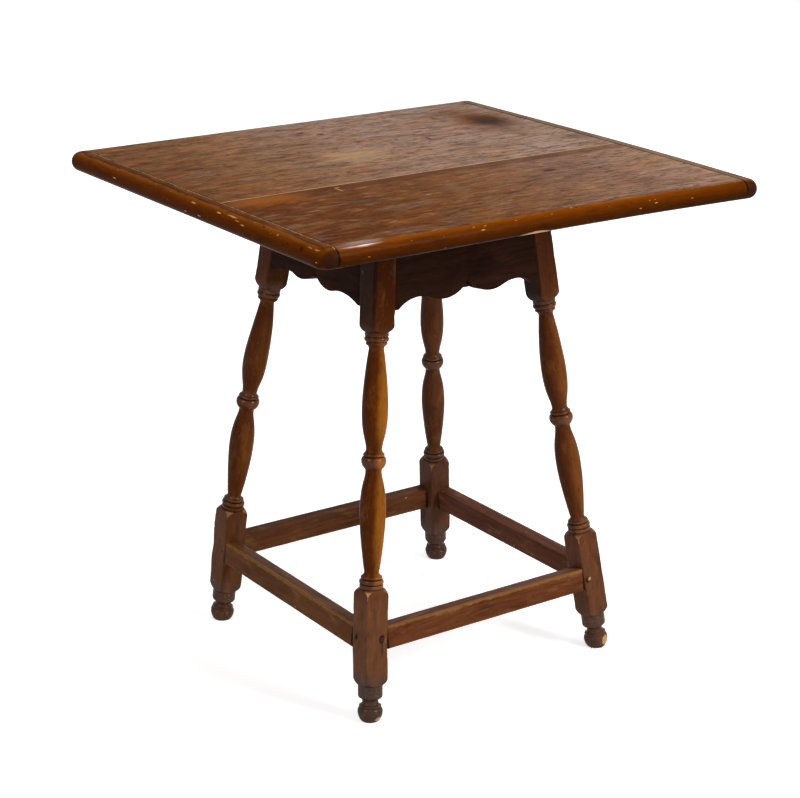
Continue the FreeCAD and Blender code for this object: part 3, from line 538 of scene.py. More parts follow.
STRETCHER_LOOK = {
    "zones": (-0.18, 0.18, 0.05, ((0.0, tone(98, 58, 36)), (0.35, tone(106, 66, 40)),
                                  (0.6, tone(96, 58, 36)), (1.0, tone(104, 62, 38)))),
    "patches": ((tone(52, 30, 20), 14, 40, 0.50, 0.70, 0.36), (tone(150, 110, 66), 22, 60, 0.54, 0.72, 0.36)),
    "flecks": ((PALE_WOOD, 9, 2.2, 0.13, 0.10, 0.75, 0.2), (tone(26, 14, 9), 8, 3.0, 0.10, 0.10, 0.7, 0.3)),
    "vary": (0.3, 0.2, 0.3, 0.2), "fibre": 1.1, "figure": 7.0, "shorten": 1.0,
    "worn": tone(168, 124, 74), "wear": (0.53, 0.58, 0.75), "grime_and_shade": tone(26, 15, 10), "hollow": (0.44, 0.6),
    "roughness": 0.34, "specular": 0.014}
NOSE_LOOK = {
    # Down the nose: a painted amber highlight at its top and painted shade darker below.
    "stops": ((0.0, tone(138, 72, 3)), (0.12, tone(112, 53, 2)), (0.3, tone(90, 41, 2)),
              (0.6, tone(72, 32, 3)), (1.0, tone(40, 19, 6))),
    "dark": tone(42, 19, 6), "roughness": 0.3, "coat": 0.003,
    "chips": ((tone(222, 166, 100), 7, 5.5, 0.4, 0.11, 0.95, 0.35),
              (tone(200, 138, 70), 4.5, 3.4, 0.5, 0.14, 0.85, 0.35),
              (tone(26, 13, 7), 7, 3.0, 0.3, 0.15, 0.85, 0.35))}
TOP_LOOK = {
    "patches": (
        (tone(150, 90, 30), 14, 36, 0.50, 0.66, 0.38), (tone(74, 41, 19), 12, 30, 0.49, 0.67, 0.50),
        (tone(118, 96, 84), 10, 26, 0.53, 0.68, 0.35), (tone(134, 108, 60), 17, 48, 0.53, 0.68, 0.35),
        (tone(72, 42, 22), 24, 74, 0.49, 0.70, 0.50), (tone(172, 134, 94), 28, 90, 0.54, 0.72, 0.34),
        (tone(40, 22, 11), 54, 250, 0.565, 0.635, 0.78)),
    "flecks": ((tone(190, 150, 104), 16, 4.0, 0.08, 0.09, 0.7, 0.1),
               (tone(30, 16, 11), 12, 4.0, 0.14, 0.10, 0.85, 0.3)),
    "vary": (0.22, 0.38, 0.42, 0.35), "fibre": 3.4, "figure": 10.0, "shorten": 1.8,
    "worn": tone(136, 92, 52), "wear": (0.54, 0.62, 0.4), "grime_and_shade": tone(34, 20, 14), "hollow": (0.44, 0.7),
    "roughness": 0.44, "specular": 0.004, "nose": NOSE_LOOK}
END_LOOK = {**TOP_LOOK, "vary": (0.3, 0.3, 0.3, 0.3), "patches": (
    (tone(132, 76, 24), 16, 90, 0.50, 0.66, 0.5), (tone(52, 26, 12), 24, 150, 0.50, 0.66, 0.6))}
PEG_LOOK = {
    "zones": (0.0, 1.0, 0.01, ((0.0, tone(44, 24, 14)), (1.0, tone(44, 24, 14)))),
    "patches": (), "flecks": (), "vary": (0.3, 0.5, 0.2, 0.4), "fibre": 1.3, "figure": 12.0, "shorten": 1.0,
    "worn": tone(76, 46, 28), "wear": (0.53, 0.62, 0.7), "grime_and_shade": tone(18, 10, 7), "hollow": (0.44, 0.8),
    "roughness": 0.4, "specular": 0.06}


def top_zones(*stops):
    """Zones of the top's pieces, which all run from -0.33 to 0.33 along their grain."""
    return (-0.33, 0.33, 0.10, stops)


# The zones grow greyer towards the right, on the boards and the right end: a painted sheen over the wood's
# own tone.
BACK_ZONES = top_zones((0.0, tone(108, 62, 26)), (0.22, tone(130, 88, 56)), (0.5, tone(148, 116, 98)),
                       (0.8, tone(148, 120, 104)), (1.0, tone(140, 111, 92)))
FRONT_ZONES = top_zones((0.0, tone(94, 43, 2)), (0.22, tone(98, 49, 3)), (0.5, tone(114, 69, 31)),
                        (0.8, tone(122, 86, 68)), (1.0, tone(150, 114, 90)))
LEFT_END_ZONES = top_zones((0.0, tone(96, 48, 6)), (0.5, tone(80, 38, 5)), (1.0, tone(88, 44, 8)))
RIGHT_END_ZONES = top_zones((0.0, tone(120, 88, 62)), (0.5, tone(112, 84, 64)), (1.0, tone(116, 90, 72)))


# ---- legs ----

LEG_HALF = 17.25 * MM
STOCK_CORNER = 24.4
LEG_SEGMENTS = 96
# Lengths of an outline's edges, in millimetres, on the blocks, on straight turning and on curves.
BLOCK_STEP = 3.0
TURNED_STEP = 1.4
FINE_STEP = 0.5
# The turning starts below the floor, so that the lean can be trimmed level.
FOOT_BELOW = 4.0
FOOT_START = 8.1
# Where feet and heads stand from the middle, along the boards and from front to back.
FEET = (0.200, 0.201)
HEADS = (0.121, 0.1135)

# Members of the turning from below: height, radius at the top and bend, in millimetres.
# A bend is 0 for straight, positive for a swell and negative for a hollow. A vase has its own poles.
FOOT = [(16.6, 17.1, 19.8), (0.5, 16.7, 0), (0.5, 17.1, 0), (4.4, 15.2, 6.04), (0, 15.1, 0),
        (3, 15.1, 0), (10.3, 15.1, -5.26), (3.4, 16.8, 4.25), (3.8, 16.8, 0), (0.5, 16.4, 0),
        (0.5, 16.8, 0), (5, 16.8, 0), (0.5, 16.4, 0), (0.5, 16.8, 0), (3.8, 16.8, 0),
        (9.8, STOCK_CORNER, 16)]
LOWER_BLOCK = [(110.3, STOCK_CORNER, 0)]
MOULDINGS_UP = [(12.2, 17.0, 13.77), (0, 15.9, 0), (5.6, 15.9, 0), (0, 15, 0), (0.9, 15, 0),
                (6.2, 15, 3.96), (0, 13.6, 0), (0.9, 13.6, 0), (3.8, 13.6, 2.46), (5.6, 10, -6.16)]
LOWER_VASE = [(136.3, None, "lower")]
CENTRE = [(4, 12.6, -5.17), (10, 16.8, 14.0), (5.2, 14.9, 8.07), (0, 13.6, 0), (0.9, 13.6, 0),
          (3.8, 13.6, 2.46), (5.6, 10.7, -6.86)]
UPPER_VASE = [(133.0, None, "upper")]
MOULDINGS_DOWN = [(5.6, 13.6, -6.16), (3.8, 13.6, 2.46), (0.9, 13.6, 0), (0, 15, 0), (6.2, 15, 3.96),
                  (0.9, 15, 0), (0, 15.9, 0), (5.6, 15.9, 0), (0, 17.0, 0), (12.2, STOCK_CORNER, 13.77)]
UPPER_BLOCK = [(152.6, STOCK_CORNER, 0)]
LEG_MEMBERS = (FOOT + LOWER_BLOCK + MOULDINGS_UP + LOWER_VASE + CENTRE + UPPER_VASE + MOULDINGS_DOWN
               + UPPER_BLOCK)

NECK = 10.2
BELLY_SWELL = 7.3
# A vase's poles: share of its length from the slender end, share of its swell.
VASE_POLES = ((0.0, 0.0), (0.441, 1.171), (0.842, 1.082), (0.937, 0.11), (1.0, 0.099))
VASE_POINTS = 34


def draw_vase(bm, corner, height, slender_end_low):
    """A vase's outline as two smooth cubic curves."""
    poles = VASE_POLES if slender_end_low else tuple((1 - along, out) for along, out in reversed(VASE_POLES))
    base = corner.co.z
    knots = [Vector(((NECK + out * BELLY_SWELL) * MM, 0, base + along * height * MM)) for along, out in poles]
    early = (knots[1] + knots[2]) / 2
    late = (knots[2] + knots[3]) / 2
    middle = (early + late) / 2
    points = interpolate_bezier(knots[0], knots[1], early, middle, VASE_POINTS)[1:]
    points += interpolate_bezier(middle, late, knots[3], knots[4], VASE_POINTS)[1:]
    for point in points:
        corner = draw_line(bm, corner, point - corner.co)
    return corner


def draw_member(bm, corner, height, radius, bend):
    """Carry a turned outline up by one member."""
    if bend in ("lower", "upper"):
        return draw_vase(bm, corner, height, bend == "lower")
    end = Vector((radius * MM, 0, corner.co.z + height * MM))
    chord = end - corner.co
    if not bend:
        step = BLOCK_STEP if radius == STOCK_CORNER else TURNED_STEP
        return draw_line(bm, corner, chord, max(1, round(chord.length / (step * MM))))
    reach = abs(bend) * MM
    inward = Vector((-chord.z, 0, chord.x)).normalized()
    side = math.copysign(math.sqrt(max(0.0, reach ** 2 - chord.length ** 2 / 4)), bend)
    centre = corner.co + chord / 2 + inward * side
    angle = 2 * math.asin(min(1.0, chord.length / 2 / reach))
    axis = (0, -math.copysign(1, bend), 0)
    return draw_arc(bm, corner, centre, axis, angle, max(3, round(angle * reach / (FINE_STEP * MM))))


# How far a block's corners are rubbed down, least and more in places, and nicked, in millimetres.
RUBBED_LEAST = 0.7
RUBBED_MORE = 1.3
NICK_DEPTH = 2.6
NICK_RARITY = 0.32
# Faults of the turning: spacing, and share of the radius.
LONG_FAULT = (0.03, 0.008)
SHORT_FAULT = (0.009, 0.004)


def wear_leg(bm, seed):
    """Square the blocks, rub down their corners, and give the turning its small faults."""
    for vertex in bm.verts:
        x, y, z = vertex.co
        x = max(-LEG_HALF, min(LEG_HALF, x))
        y = max(-LEG_HALF, min(LEG_HALF, y))
        corner = math.copysign(1, x) + 3 * math.copysign(1, y)
        rub = 0.5 + 0.5 * uneven((corner * 9, 0, z), 0.022, seed)
        nick = max(0.0, uneven((corner * 5, 3, z), 0.007, seed) - NICK_RARITY) * NICK_DEPTH * MM
        spare = abs(x) + abs(y) - 2 * LEG_HALF + (RUBBED_LEAST + RUBBED_MORE * rub) * MM + nick
        if spare > 0:
            x -= math.copysign(spare / 2, x)
            y -= math.copysign(spare / 2, y)
        faults = 1
        for spacing, share in (LONG_FAULT, SHORT_FAULT):
            faults += share * uneven((x, y, z), spacing, seed)
        vertex.co = (x * faults, y * faults, z)


# How each leg has warped and where its turner's marks fell: height, then the move along X, Y and Z, in
# millimetres, with smooth curves between.
LEG_WARP = {
    "front_left": ((0, 2.7, -1.6, 0), (59, 2.2, -1.0, 0), (110, 0.8, 0, 0), (169, 0.7, -0.3, 0),
                   (350, 0, 0, 0), (673, 0, 0, 0)),
    "front_right": ((0, 3.6, 5.0, 0), (59, 1.6, 2.4, 4), (110, 0.4, 0.4, 1), (169, 0, 0, 0),
                    (350, -1.1, 0.8, -2), (440, -1.4, 1.0, -1), (520, -0.8, 0.6, 0), (673, 0, 0, 0)),
    "back_left": ((0, 0.9, -9.0, 0), (59, 0.6, -4.6, -2), (110, -0.4, 0, -2), (159, -3.0, 2.1, -2.5),
                  (208, -3.8, 2.6, -3), (331, -5.7, 3.9, -5.5), (400, -4.7, 3.2, -6), (485, -1.3, 0.9, -4),
                  (540, 0, 0, -1), (673, 0, 0, 0)),
    "back_right": ((0, 0, -2.0, 0), (59, 0, 0, 0), (169, -0.3, 0.2, 0), (350, -0.6, 0.4, -3),
                   (490, -0.6, 0.4, -3), (540, 0, 0, 0), (673, 0, 0, 0)),
}
SHOULDER_HEIGHT = 0.170


def warp_at(warp, height):
    """Move of a leg at a height, in metres."""
    for (low, *start), (high, *stop) in zip(warp, warp[1:]):
        if low * MM <= height <= high * MM:
            share = (height / MM - low) / (high - low)
            share = share * share * (3 - 2 * share)
            return (Vector(start) * (1 - share) + Vector(stop) * share) * MM
    return Vector((0, 0, 0))


def make_leg(name, along, back, seed, side, strength, cast):
    """Turn a leg upright, lean it, trim it level at floor and top, and warp it."""
    foot = Vector((along * FEET[0], back * FEET[1], 0))
    head = Vector((along * HEADS[0], back * HEADS[1], UNDERSIDE))
    lean = Vector((0, 0, 1)).rotation_difference(head - foot).to_matrix()
    bm = bmesh.new()
    corner = bm.verts.new((FOOT_START * MM, 0, -FOOT_BELOW * MM))
    for member in LEG_MEMBERS:
        corner = draw_member(bm, corner, *member)
    turn_round(bm, LEG_SEGMENTS, 1e-6)
    wear_leg(bm, seed)
    bmesh.ops.transform(bm, matrix=Matrix.Translation(foot) @ lean.to_4x4(), verts=bm.verts)
    for level, outward in ((0, -1), (UNDERSIDE, 1)):
        cut = bmesh.ops.bisect_plane(bm, geom=bm.verts[:] + bm.edges[:] + bm.faces[:], dist=1e-6,
                                     plane_co=(0, 0, level), plane_no=(0, 0, outward), clear_outer=True)
        rim = [item for item in cut["geom_cut"] if isinstance(item, bmesh.types.BMEdge)]
        bmesh.ops.holes_fill(bm, edges=rim, sides=0)
    for vertex in bm.verts:
        vertex.co += warp_at(LEG_WARP[name], vertex.co.z)
    turn = ALONG_Z @ lean.transposed()
    moved = warp_at(LEG_WARP[name], SHOULDER_HEIGHT)
    finish = wood("leg_wood_" + name, LEG_LOOK, seed, turn, -(turn @ foot), LEG_MARKS.get(name, ()),
                  lit_side=(side, strength, (0, moved.x, moved.y)), cast=cast)
    hand_over(bm, "turned_leg_" + name, "leg_" + name, finish, 55)


# Marks on the legs: x up the leg, y along the boards, z towards the back, in metres. Both front legs have
# a knot or a hole by a peg, painted shade on the left side above and a chipped foot.
LEG_MARKS = {
    "front_left": (
        ((0.1145, 0.0083, -0.0175), (0.0080, 0.0052, 0.004), tone(20, 10, 7), 0.9, 0.9, 0.4, 0.4),
        ((0.1120, 0.0138, -0.0175), (0.0050, 0.0012, 0.004), tone(156, 104, 62), 0.6, 0.9, 0.4, 0.0),
        ((0.1000, 0.0089, -0.0175), (0.0120, 0.0009, 0.004), tone(28, 14, 9), 0.8, 0.8, 0.3, 0.2),
        ((0.1180, -0.0175, 0.006), (0.0030, 0.004, 0.0022), tone(28, 14, 9), 0.85, 0.8, 0.3, 0.3),
        # painted shade on the upper block's left face, under the top and apron
        ((0.610, -0.0175, 0.0), (0.110, 0.006, 0.040), tone(26, 14, 9), 0.55, 0.3, 0.3, 0.0),
        ((0.004, 0.006, -0.014), (0.004, 0.006, 0.006), PALE_WOOD, 0.85, 1.2, 0.3, 0.4)),
    "front_right": (
        ((0.1130, -0.0104, -0.0175), (0.0056, 0.0056, 0.004), tone(28, 15, 9), 0.9, 0.6, 0.3, 0.4),
        # painted shade on the upper block's left face, under the top and apron
        ((0.610, -0.0175, 0.0), (0.110, 0.006, 0.040), tone(22, 12, 8), 0.75, 0.3, 0.3, 0.0),
        ((0.011, 0.008, -0.013), (0.009, 0.007, 0.010), tone(206, 148, 92), 0.9, 0.9, 0.3, 0.5)),
}
# Each leg's corner, seed, the side that gets a painted highlight, how strong that highlight is, and the tint
# of its whole finish.
for name, along, back, seed, side, strength, cast in (
        ("front_left", -1, -1, 1.0, (0.62, -0.78), 0.75, None),
        ("front_right", 1, -1, 2.0, (0.5, -0.86), 0.45, (tone(92, 52, 31), 0.45)),
        ("back_left", -1, 1, 3.0, (0.3, -0.95), 0.35, (tone(80, 43, 22), 0.5)),
        # painted shade and reflection: this leg's darker, greyer tint
        ("back_right", 1, 1, 4.0, (-0.3, -0.95), 0.2, (tone(74, 46, 35), 0.6))):
    make_leg(name, along, back, seed, side, strength, cast)


# ---- rails ----

# A rail's grain runs along X, or along Y where it is turned.
SIDES = {"front": None, "back": None, "left": ALONG_Y, "right": ALONG_Y}
RAIL_DENT = 0.12 * MM
DENT_SPACING = 0.02
# Edges sharper than this many degrees are eased.
SHARP = 40


def make_rail(way, kind, side, bevel, spacing, seed, look, cast=None, lines=()):
    """A rail of the frame with its edges eased and its faces slightly dented."""
    node = "%s_%s" % (kind, side)
    bm = copy_of(node)
    if bevel:
        bmesh.ops.bevel(bm, geom=sharp_edges(bm, SHARP), offset=bevel, offset_type="OFFSET", segments=2,
                        profile=0.5, affect="EDGES", material=-1, clamp_overlap=True)
    axis = 0 if SIDES[side] is None else 1
    low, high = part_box(node)
    slice_along(bm, axis, low[axis], high[axis], spacing)
    for vertex in bm.verts:
        vertex.co += vertex.normal * uneven(vertex.co, DENT_SPACING, seed) * RAIL_DENT
    finish = wood("%s_wood_%s" % (kind, side), look, seed, SIDES[side], lines=lines, cast=cast)
    hand_over(bm, "%s_%s" % (way, node), node, finish)


# How far from the middle each stretcher's shoulders meet the legs.
SHOULDER = {"front": 0.1690, "back": 0.1697, "left": 0.1693, "right": 0.1693}
SHOULDER_SHADE = tone(20, 10, 7)
STRETCHER_CASTS = {"front": (tone(106, 54, 26), 0.45), "back": (tone(90, 50, 30), 0.4),
                   "left": (tone(98, 58, 28), 0.35), "right": (tone(86, 46, 36), 0.55)}
OUTWARD = {"front": (0, -1, 0), "back": (0, 1, 0), "left": (-1, 0, 0), "right": (1, 0, 0)}


def rubbed_arris(side):
    """Golden line along a stretcher's outer upper arris, where feet rest."""
    across = (Vector(OUTWARD[side]) + Vector((0, 0, 1))).normalized()
    outermost = max(across.dot(vertex.co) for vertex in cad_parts["stretcher_" + side].data.vertices)
    return (tuple(across), outermost, 2.2 * MM, 0.50, NO_LOWEST, tone(154, 108, 58), 0.52)


for seed, side in enumerate(SIDES, start=5):
    across = (1, 0, 0) if SIDES[side] is None else (0, 1, 0)
    # a dark joint and painted shade where each stretcher meets the legs
    shoulders = [(across, end * SHOULDER[side], 2.6 * MM, 0.12, NO_LOWEST, SHOULDER_SHADE, 0.9)
                 for end in (-1, 1)]
    make_rail("shaped", "apron", side, 0.5 * MM, 6 * MM, seed, APRON_LOOK)
    make_rail("worn", "stretcher", side, 0, 4 * MM, seed + 4, STRETCHER_LOOK, STRETCHER_CASTS[side],
              [rubbed_arris(side), *shoulders])


# ---- top ----

CORNER_DROP = 4.5 * MM
# The drop starts this far behind the middle.
DROP_FROM = 0.05


def sag(x, y):
    """How far the top's front right corner has dropped."""
    outward = max(0.0, min(1.0, x / HALF_LENGTH))
    forward = max(0.0, min(1.0, (DROP_FROM - y) / (HALF_DEPTH + DROP_FROM)))
    return CORNER_DROP * outward ** 2 * forward ** 2


JOINT_GAP = 0.1 * MM
BOARD_SECTIONS = 220
BOARD_STEP = 3.5 * MM
NOSE_STEPS = 22
UNDERSIDE_STEPS = 12
JOINT_STEPS = 5
# What stands this far above the underside belongs to the planed upper face and its edges.
PLANED_ABOVE = 0.5 * MM
# The top's faces are planed hollow: mean depth, then depths of the broad and of the fine unevenness.
PLANED = (0.15 * MM, 0.175 * MM, 0.06 * MM)


def make_board(name, outer, zones, arris, seed, marks, lines, polished=None):
    """Board swept along X from its cross-section, with a half-round nose on its outer edge."""
    inner = SEAM + math.copysign(JOINT_GAP, outer - SEAM)
    side = math.copysign(1, outer)
    reach = THICKNESS / 2
    flat = outer - side * (reach + arris) - inner
    bm = bmesh.new()
    first = bm.verts.new((-JOINT + JOINT_GAP, inner, TABLE_HEIGHT - arris))
    corner = draw_line(bm, first, (0, side * arris * 0.3, arris * 0.7))
    corner = draw_line(bm, corner, (0, side * arris * 0.7, arris * 0.3))
    corner = draw_line(bm, corner, (0, flat, 0), round(abs(flat) / BOARD_STEP))
    corner = draw_arc(bm, corner, corner.co - Vector((0, 0, reach)), (-side, 0, 0), math.pi, NOSE_STEPS)
    corner = draw_line(bm, corner, (0, -flat - side * arris, 0), UNDERSIDE_STEPS)
    draw_line(bm, corner, (0, 0, THICKNESS - arris), JOINT_STEPS)
    bmesh.ops.remove_doubles(bm, verts=bm.verts, dist=1e-5)
    length = 2 * (JOINT - JOINT_GAP)
    bmesh.ops.spin(bm, geom=bm.verts[:] + bm.edges[:], axis=(0, 0, 1), angle=0.0, steps=BOARD_SECTIONS,
                   dvec=(length / BOARD_SECTIONS, 0, 0))
    bmesh.ops.holes_fill(bm, edges=[edge for edge in bm.edges if edge.is_boundary], sides=0)
    for vertex in bm.verts:
        x, y, z = vertex.co
        if z > UNDERSIDE + PLANED_ABOVE:
            mean, broad, fine = PLANED
            z -= mean + broad * uneven((x * 0.4, y, 0), 0.05, seed)
            z -= fine * uneven((x * 0.3, y, 0), 0.012, seed)
        vertex.co.z = z - sag(x, y)
    finish = wood(name + "_wood", {**TOP_LOOK, "zones": zones}, seed, marks=marks, lines=lines,
                  polished=polished)
    hand_over(bm, "planed_" + name, name, finish)


DARK_MARK = tone(34, 18, 12)
# A brown knot with a dark heart, a bleached patch with a small stain, and dark spots.
BACK_MARKS = (
    ((0.262, 0.186, 0.70), (0.074, 0.115, 0.05), tone(102, 56, 16), 0.95, 0.8, 0.9, 0.5),
    ((0.268, 0.172, 0.70), (0.046, 0.062, 0.05), tone(46, 17, 0), 0.98, 0.7, 0.8, 0.4),
    ((-0.035, 0.078, 0.70), (0.085, 0.046, 0.05), tone(176, 142, 100), 0.6, 1.8, 0.9, 0.0),
    ((-0.060, 0.100, 0.70), (0.022, 0.014, 0.05), tone(186, 130, 74), 0.45, 1.0, 0.8, 0.0),
    ((0.006, 0.227, 0.70), (0.008, 0.005, 0.05), DARK_MARK, 0.85, 1.0, 0.4, 0.3),
    ((-0.014, 0.249, 0.70), (0.007, 0.004, 0.05), DARK_MARK, 0.7, 1.0, 0.4, 0.2),
    ((0.120, 0.117, 0.70), (0.003, 0.009, 0.05), DARK_MARK, 0.85, 0.9, 0.3, 0.3),
    ((0.076, 0.135, 0.70), (0.003, 0.004, 0.05), DARK_MARK, 0.7, 0.8, 0.4, 0.2),
    ((-0.095, -0.001, 0.70), (0.005, 0.004, 0.05), DARK_MARK, 0.85, 0.8, 0.4, 0.3),
    ((-0.118, -0.008, 0.70), (0.003, 0.003, 0.05), DARK_MARK, 0.8, 0.8, 0.4, 0.2),
    ((0.124, -0.010, 0.70), (0.004, 0.003, 0.05), DARK_MARK, 0.8, 0.8, 0.4, 0.2),
)
# A nick at the left joint, a small knot, an amber patch, a bent scratch and a split under the nose.
FRONT_MARKS = (
    ((-JOINT, -0.326, 0.686), (0.0026, 0.012, 0.013), tone(18, 10, 6), 0.95, 0.5, 0.3, 0.6),
    ((0.136, -0.142, 0.70), (0.012, 0.005, 0.05), tone(28, 14, 9), 0.95, 0.7, 0.3, 0.5),
    ((0.136, -0.142, 0.70), (0.022, 0.014, 0.05), tone(74, 42, 26), 0.5, 0.9, 0.8, 0.0),
    ((-0.270, -0.078, 0.70), (0.085, 0.030, 0.05), tone(146, 78, 6), 0.75, 0.9, 0.8, 0.0),
    ((-0.161, -0.078, 0.70), (0.0012, 0.013, 0.05), tone(204, 150, 90), 0.8, 0.5, 0.3, 0.1),
    ((-0.157, -0.068, 0.70), (0.004, 0.0012, 0.05), tone(204, 150, 90), 0.7, 0.5, 0.3, 0.1),
    ((-0.028, -0.319, 0.6725), (0.028, 0.012, 0.0075), tone(206, 168, 116), 0.95, 0.8, 0.2, 0.6),
)
SEAM_EDGE = ((0, 1, 0), SEAM + 0.7 * MM, 1.5 * MM, 0.45, 0.69, tone(184, 148, 108), 0.7)
SEAM_GAP = ((0, 1, 0), SEAM - 0.6 * MM, 2.4 * MM, 0.15, NO_LOWEST, tone(44, 24, 13), 0.8)
SEAM_SHADE = ((0, 1, 0), SEAM, 0.034, 0.06, NO_LOWEST, tone(84, 44, 14), 0.6)
BOARD_ENDS = tuple(((1, 0, 0), end * (JOINT - 0.3 * MM), 1.4 * MM, 0.15, NO_LOWEST, tone(26, 14, 9), 0.85)
                   for end in (-1, 1))
# Where the front nose shines most: place, size and strength.
POLISHED_CORNER = ((-0.287, -0.321, 0.7015), (0.046, 0.014, 0.0064), 0.9)
make_board("top_board_front", -HALF_DEPTH, FRONT_ZONES, 1.0 * MM, 13.0, FRONT_MARKS,
           (SEAM_SHADE, SEAM_GAP, *BOARD_ENDS), POLISHED_CORNER)
make_board("top_board_back", HALF_DEPTH, BACK_ZONES, 0.7 * MM, 14.0, BACK_MARKS,
           (SEAM_EDGE, *BOARD_ENDS))


PLAN_CORNER_STEPS = 10
END_NOSE_STEPS = 9
END_SLICE = 4 * MM


def make_end(name, turned_round, bends, zones, seed, marks, lines):
    """Breadboard end: its plan drawn with rounded corners, raised, and rounded over on three edges."""
    bm = bmesh.new()
    near, far = bends
    first = bm.verts.new((JOINT, -HALF_DEPTH, UNDERSIDE))
    corner = draw_line(bm, first, (HALF_LENGTH - near - JOINT, 0, 0))
    corner = draw_arc(bm, corner, corner.co + Vector((0, near, 0)), (0, 0, 1), math.pi / 2, PLAN_CORNER_STEPS)
    corner = draw_line(bm, corner, (0, 2 * HALF_DEPTH - near - far, 0))
    corner = draw_arc(bm, corner, corner.co + Vector((-far, 0, 0)), (0, 0, 1), math.pi / 2, PLAN_CORNER_STEPS)
    corner = draw_line(bm, corner, (JOINT + far - HALF_LENGTH, 0, 0))
    bmesh.ops.contextual_create(bm, geom=[corner, first])
    face = bmesh.ops.contextual_create(bm, geom=bm.edges[:])["faces"]
    raised = bmesh.ops.extrude_face_region(bm, geom=face)["geom"]
    lifted = [item for item in raised if isinstance(item, bmesh.types.BMVert)]
    bmesh.ops.translate(bm, vec=(0, 0, THICKNESS), verts=lifted)
    rims = [edge for edge in bm.edges
            if abs((edge.verts[0].co - edge.verts[1].co).z) < 1e-6
            and (edge.verts[0].co.x + edge.verts[1].co.x) / 2 > JOINT + 1e-5]
    bmesh.ops.bevel(bm, geom=rims, offset=NOSE_RADIUS, offset_type="OFFSET", segments=END_NOSE_STEPS,
                    profile=0.5, affect="EDGES", material=-1, clamp_overlap=False)
    slice_along(bm, 1, -HALF_DEPTH, HALF_DEPTH, END_SLICE)
    if turned_round:
        bmesh.ops.rotate(bm, cent=(0, 0, 0), matrix=Matrix.Rotation(math.pi, 3, "Z"), verts=bm.verts)
    for vertex in bm.verts:
        vertex.co.z -= sag(vertex.co.x, vertex.co.y)
    finish = wood(name + "_wood", {**END_LOOK, "zones": zones}, seed, ALONG_Y, marks=marks, lines=lines)
    hand_over(bm, "rounded_" + name, name, finish)


CHIP_TONE = tone(216, 152, 80)
# Chips of the left end: place, and size in millimetres.
LEFT_CHIPS = (
    ((-0.344, -0.087, 0.696), (2.0, 6.0, 1.0)), ((-0.342, -0.118, 0.697), (2.6, 15.0, 1.0)),
    ((-0.344, -0.132, 0.695), (1.8, 9.0, 1.0)), ((-0.346, -0.148, 0.693), (1.8, 5.0, 1.0)),
    ((-0.343, -0.225, 0.696), (1.6, 1.6, 3.0)), ((-0.341, -0.296, 0.697), (3.0, 8.0, 0.8)),
    ((-0.344, -0.023, 0.696), (2.0, 7.0, 0.9)), ((-0.341, 0.203, 0.697), (2.2, 11.0, 0.8)),
    ((-0.346, -0.272, 0.690), (1.8, 7.0, 1.4)), ((-0.340, -0.310, 0.697), (5.0, 5.0, 0.8)))
LEFT_STAIN = ((-0.345, -0.283, 0.692), (0.005, 0.006, 0.004), tone(30, 22, 10), 0.7, 1.5, 0.5, 0.3)
LEFT_MARKS = (*((place, tuple(measured * MM for measured in size), CHIP_TONE, 0.95, 2.0, 0.25, 0.5)
                for place, size in LEFT_CHIPS), LEFT_STAIN)
RIGHT_JOINT = ((1, 0, 0), JOINT + 0.4 * MM, 1.3 * MM, 0.12, NO_LOWEST, tone(16, 9, 7), 0.95)
LEFT_JOINT = ((1, 0, 0), -JOINT - 1.0 * MM, 1.0 * MM, 1.1, 0.698, tone(196, 150, 96), 0.7)
LEFT_GAP = ((1, 0, 0), -JOINT, 1.3 * MM, 0.2, NO_LOWEST, tone(24, 13, 8), 0.85)
END_GRAIN = ((0, 1, 0), -HALF_DEPTH, 0.009, 0.15, NO_LOWEST, tone(46, 27, 18), 0.75)
make_end("breadboard_end_right", False, (14.75 * MM, 16.0 * MM), RIGHT_END_ZONES, 15.0, (),
         (END_GRAIN, RIGHT_JOINT))
make_end("breadboard_end_left", True, (17.0 * MM, 22.0 * MM), LEFT_END_ZONES, 16.0, LEFT_MARKS,
         (END_GRAIN, LEFT_JOINT, LEFT_GAP))


# ---- pegs and screws ----

def paint_node(node, finish):
    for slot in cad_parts[node].material_slots:
        slot.material = finish


PEG_MARKS = (((0.1792, -0.2045, 0.1125), (0.0036, 0.004, 0.0040), tone(190, 144, 98), 0.85, 0.4, 0.4, 0.0),)
peg_wood = wood("peg_wood", PEG_LOOK, 21.0, marks=PEG_MARKS)
for node in ("apron_pegs", "stretcher_pegs"):
    paint_node(node, peg_wood)


def rusty_steel():
    finish, tree = new_finish("dull_screw_steel")
    place = put(tree, "TexCoord").outputs["Object"]
    rust = ease(tree, cloud(tree, place, 380.0, 4.0, 0.65), 0.46, 0.62)
    show(tree, put(tree, "BsdfPrincipled", {
        "Base Color": tint(tree, rust, tone(140, 136, 130), tone(96, 58, 36)),
        "Metallic": calc(tree, "SUBTRACT", 1.0, rust),
        "Roughness": calc(tree, "MULTIPLY_ADD", rust, 0.35, 0.38)}))
    return finish


paint_node("top_screws", rusty_steel())


# ---- studio ----

SWEEP_FLOOR = 9.0
SWEEP_BEND = 1.0
SWEEP_WALL = 1.9
SWEEP_SEGMENTS = 72
# The floor's glow: where it starts to grow and where it is full, then its two strengths.
FLOOR_GLOW = (0.3, 2.2, 0.62, 0.9)
WORLD_LIGHT = 0.2


def seen_or_mirrored(tree):
    """1 for what the camera sees, straight or in a glossy or clear surface, and 0 for what lights."""
    path = put(tree, "LightPath").outputs
    mirrored = calc(tree, "MAXIMUM", path["Is Glossy Ray"], path["Is Transmission Ray"])
    return calc(tree, "MAXIMUM", path["Is Camera Ray"], mirrored)


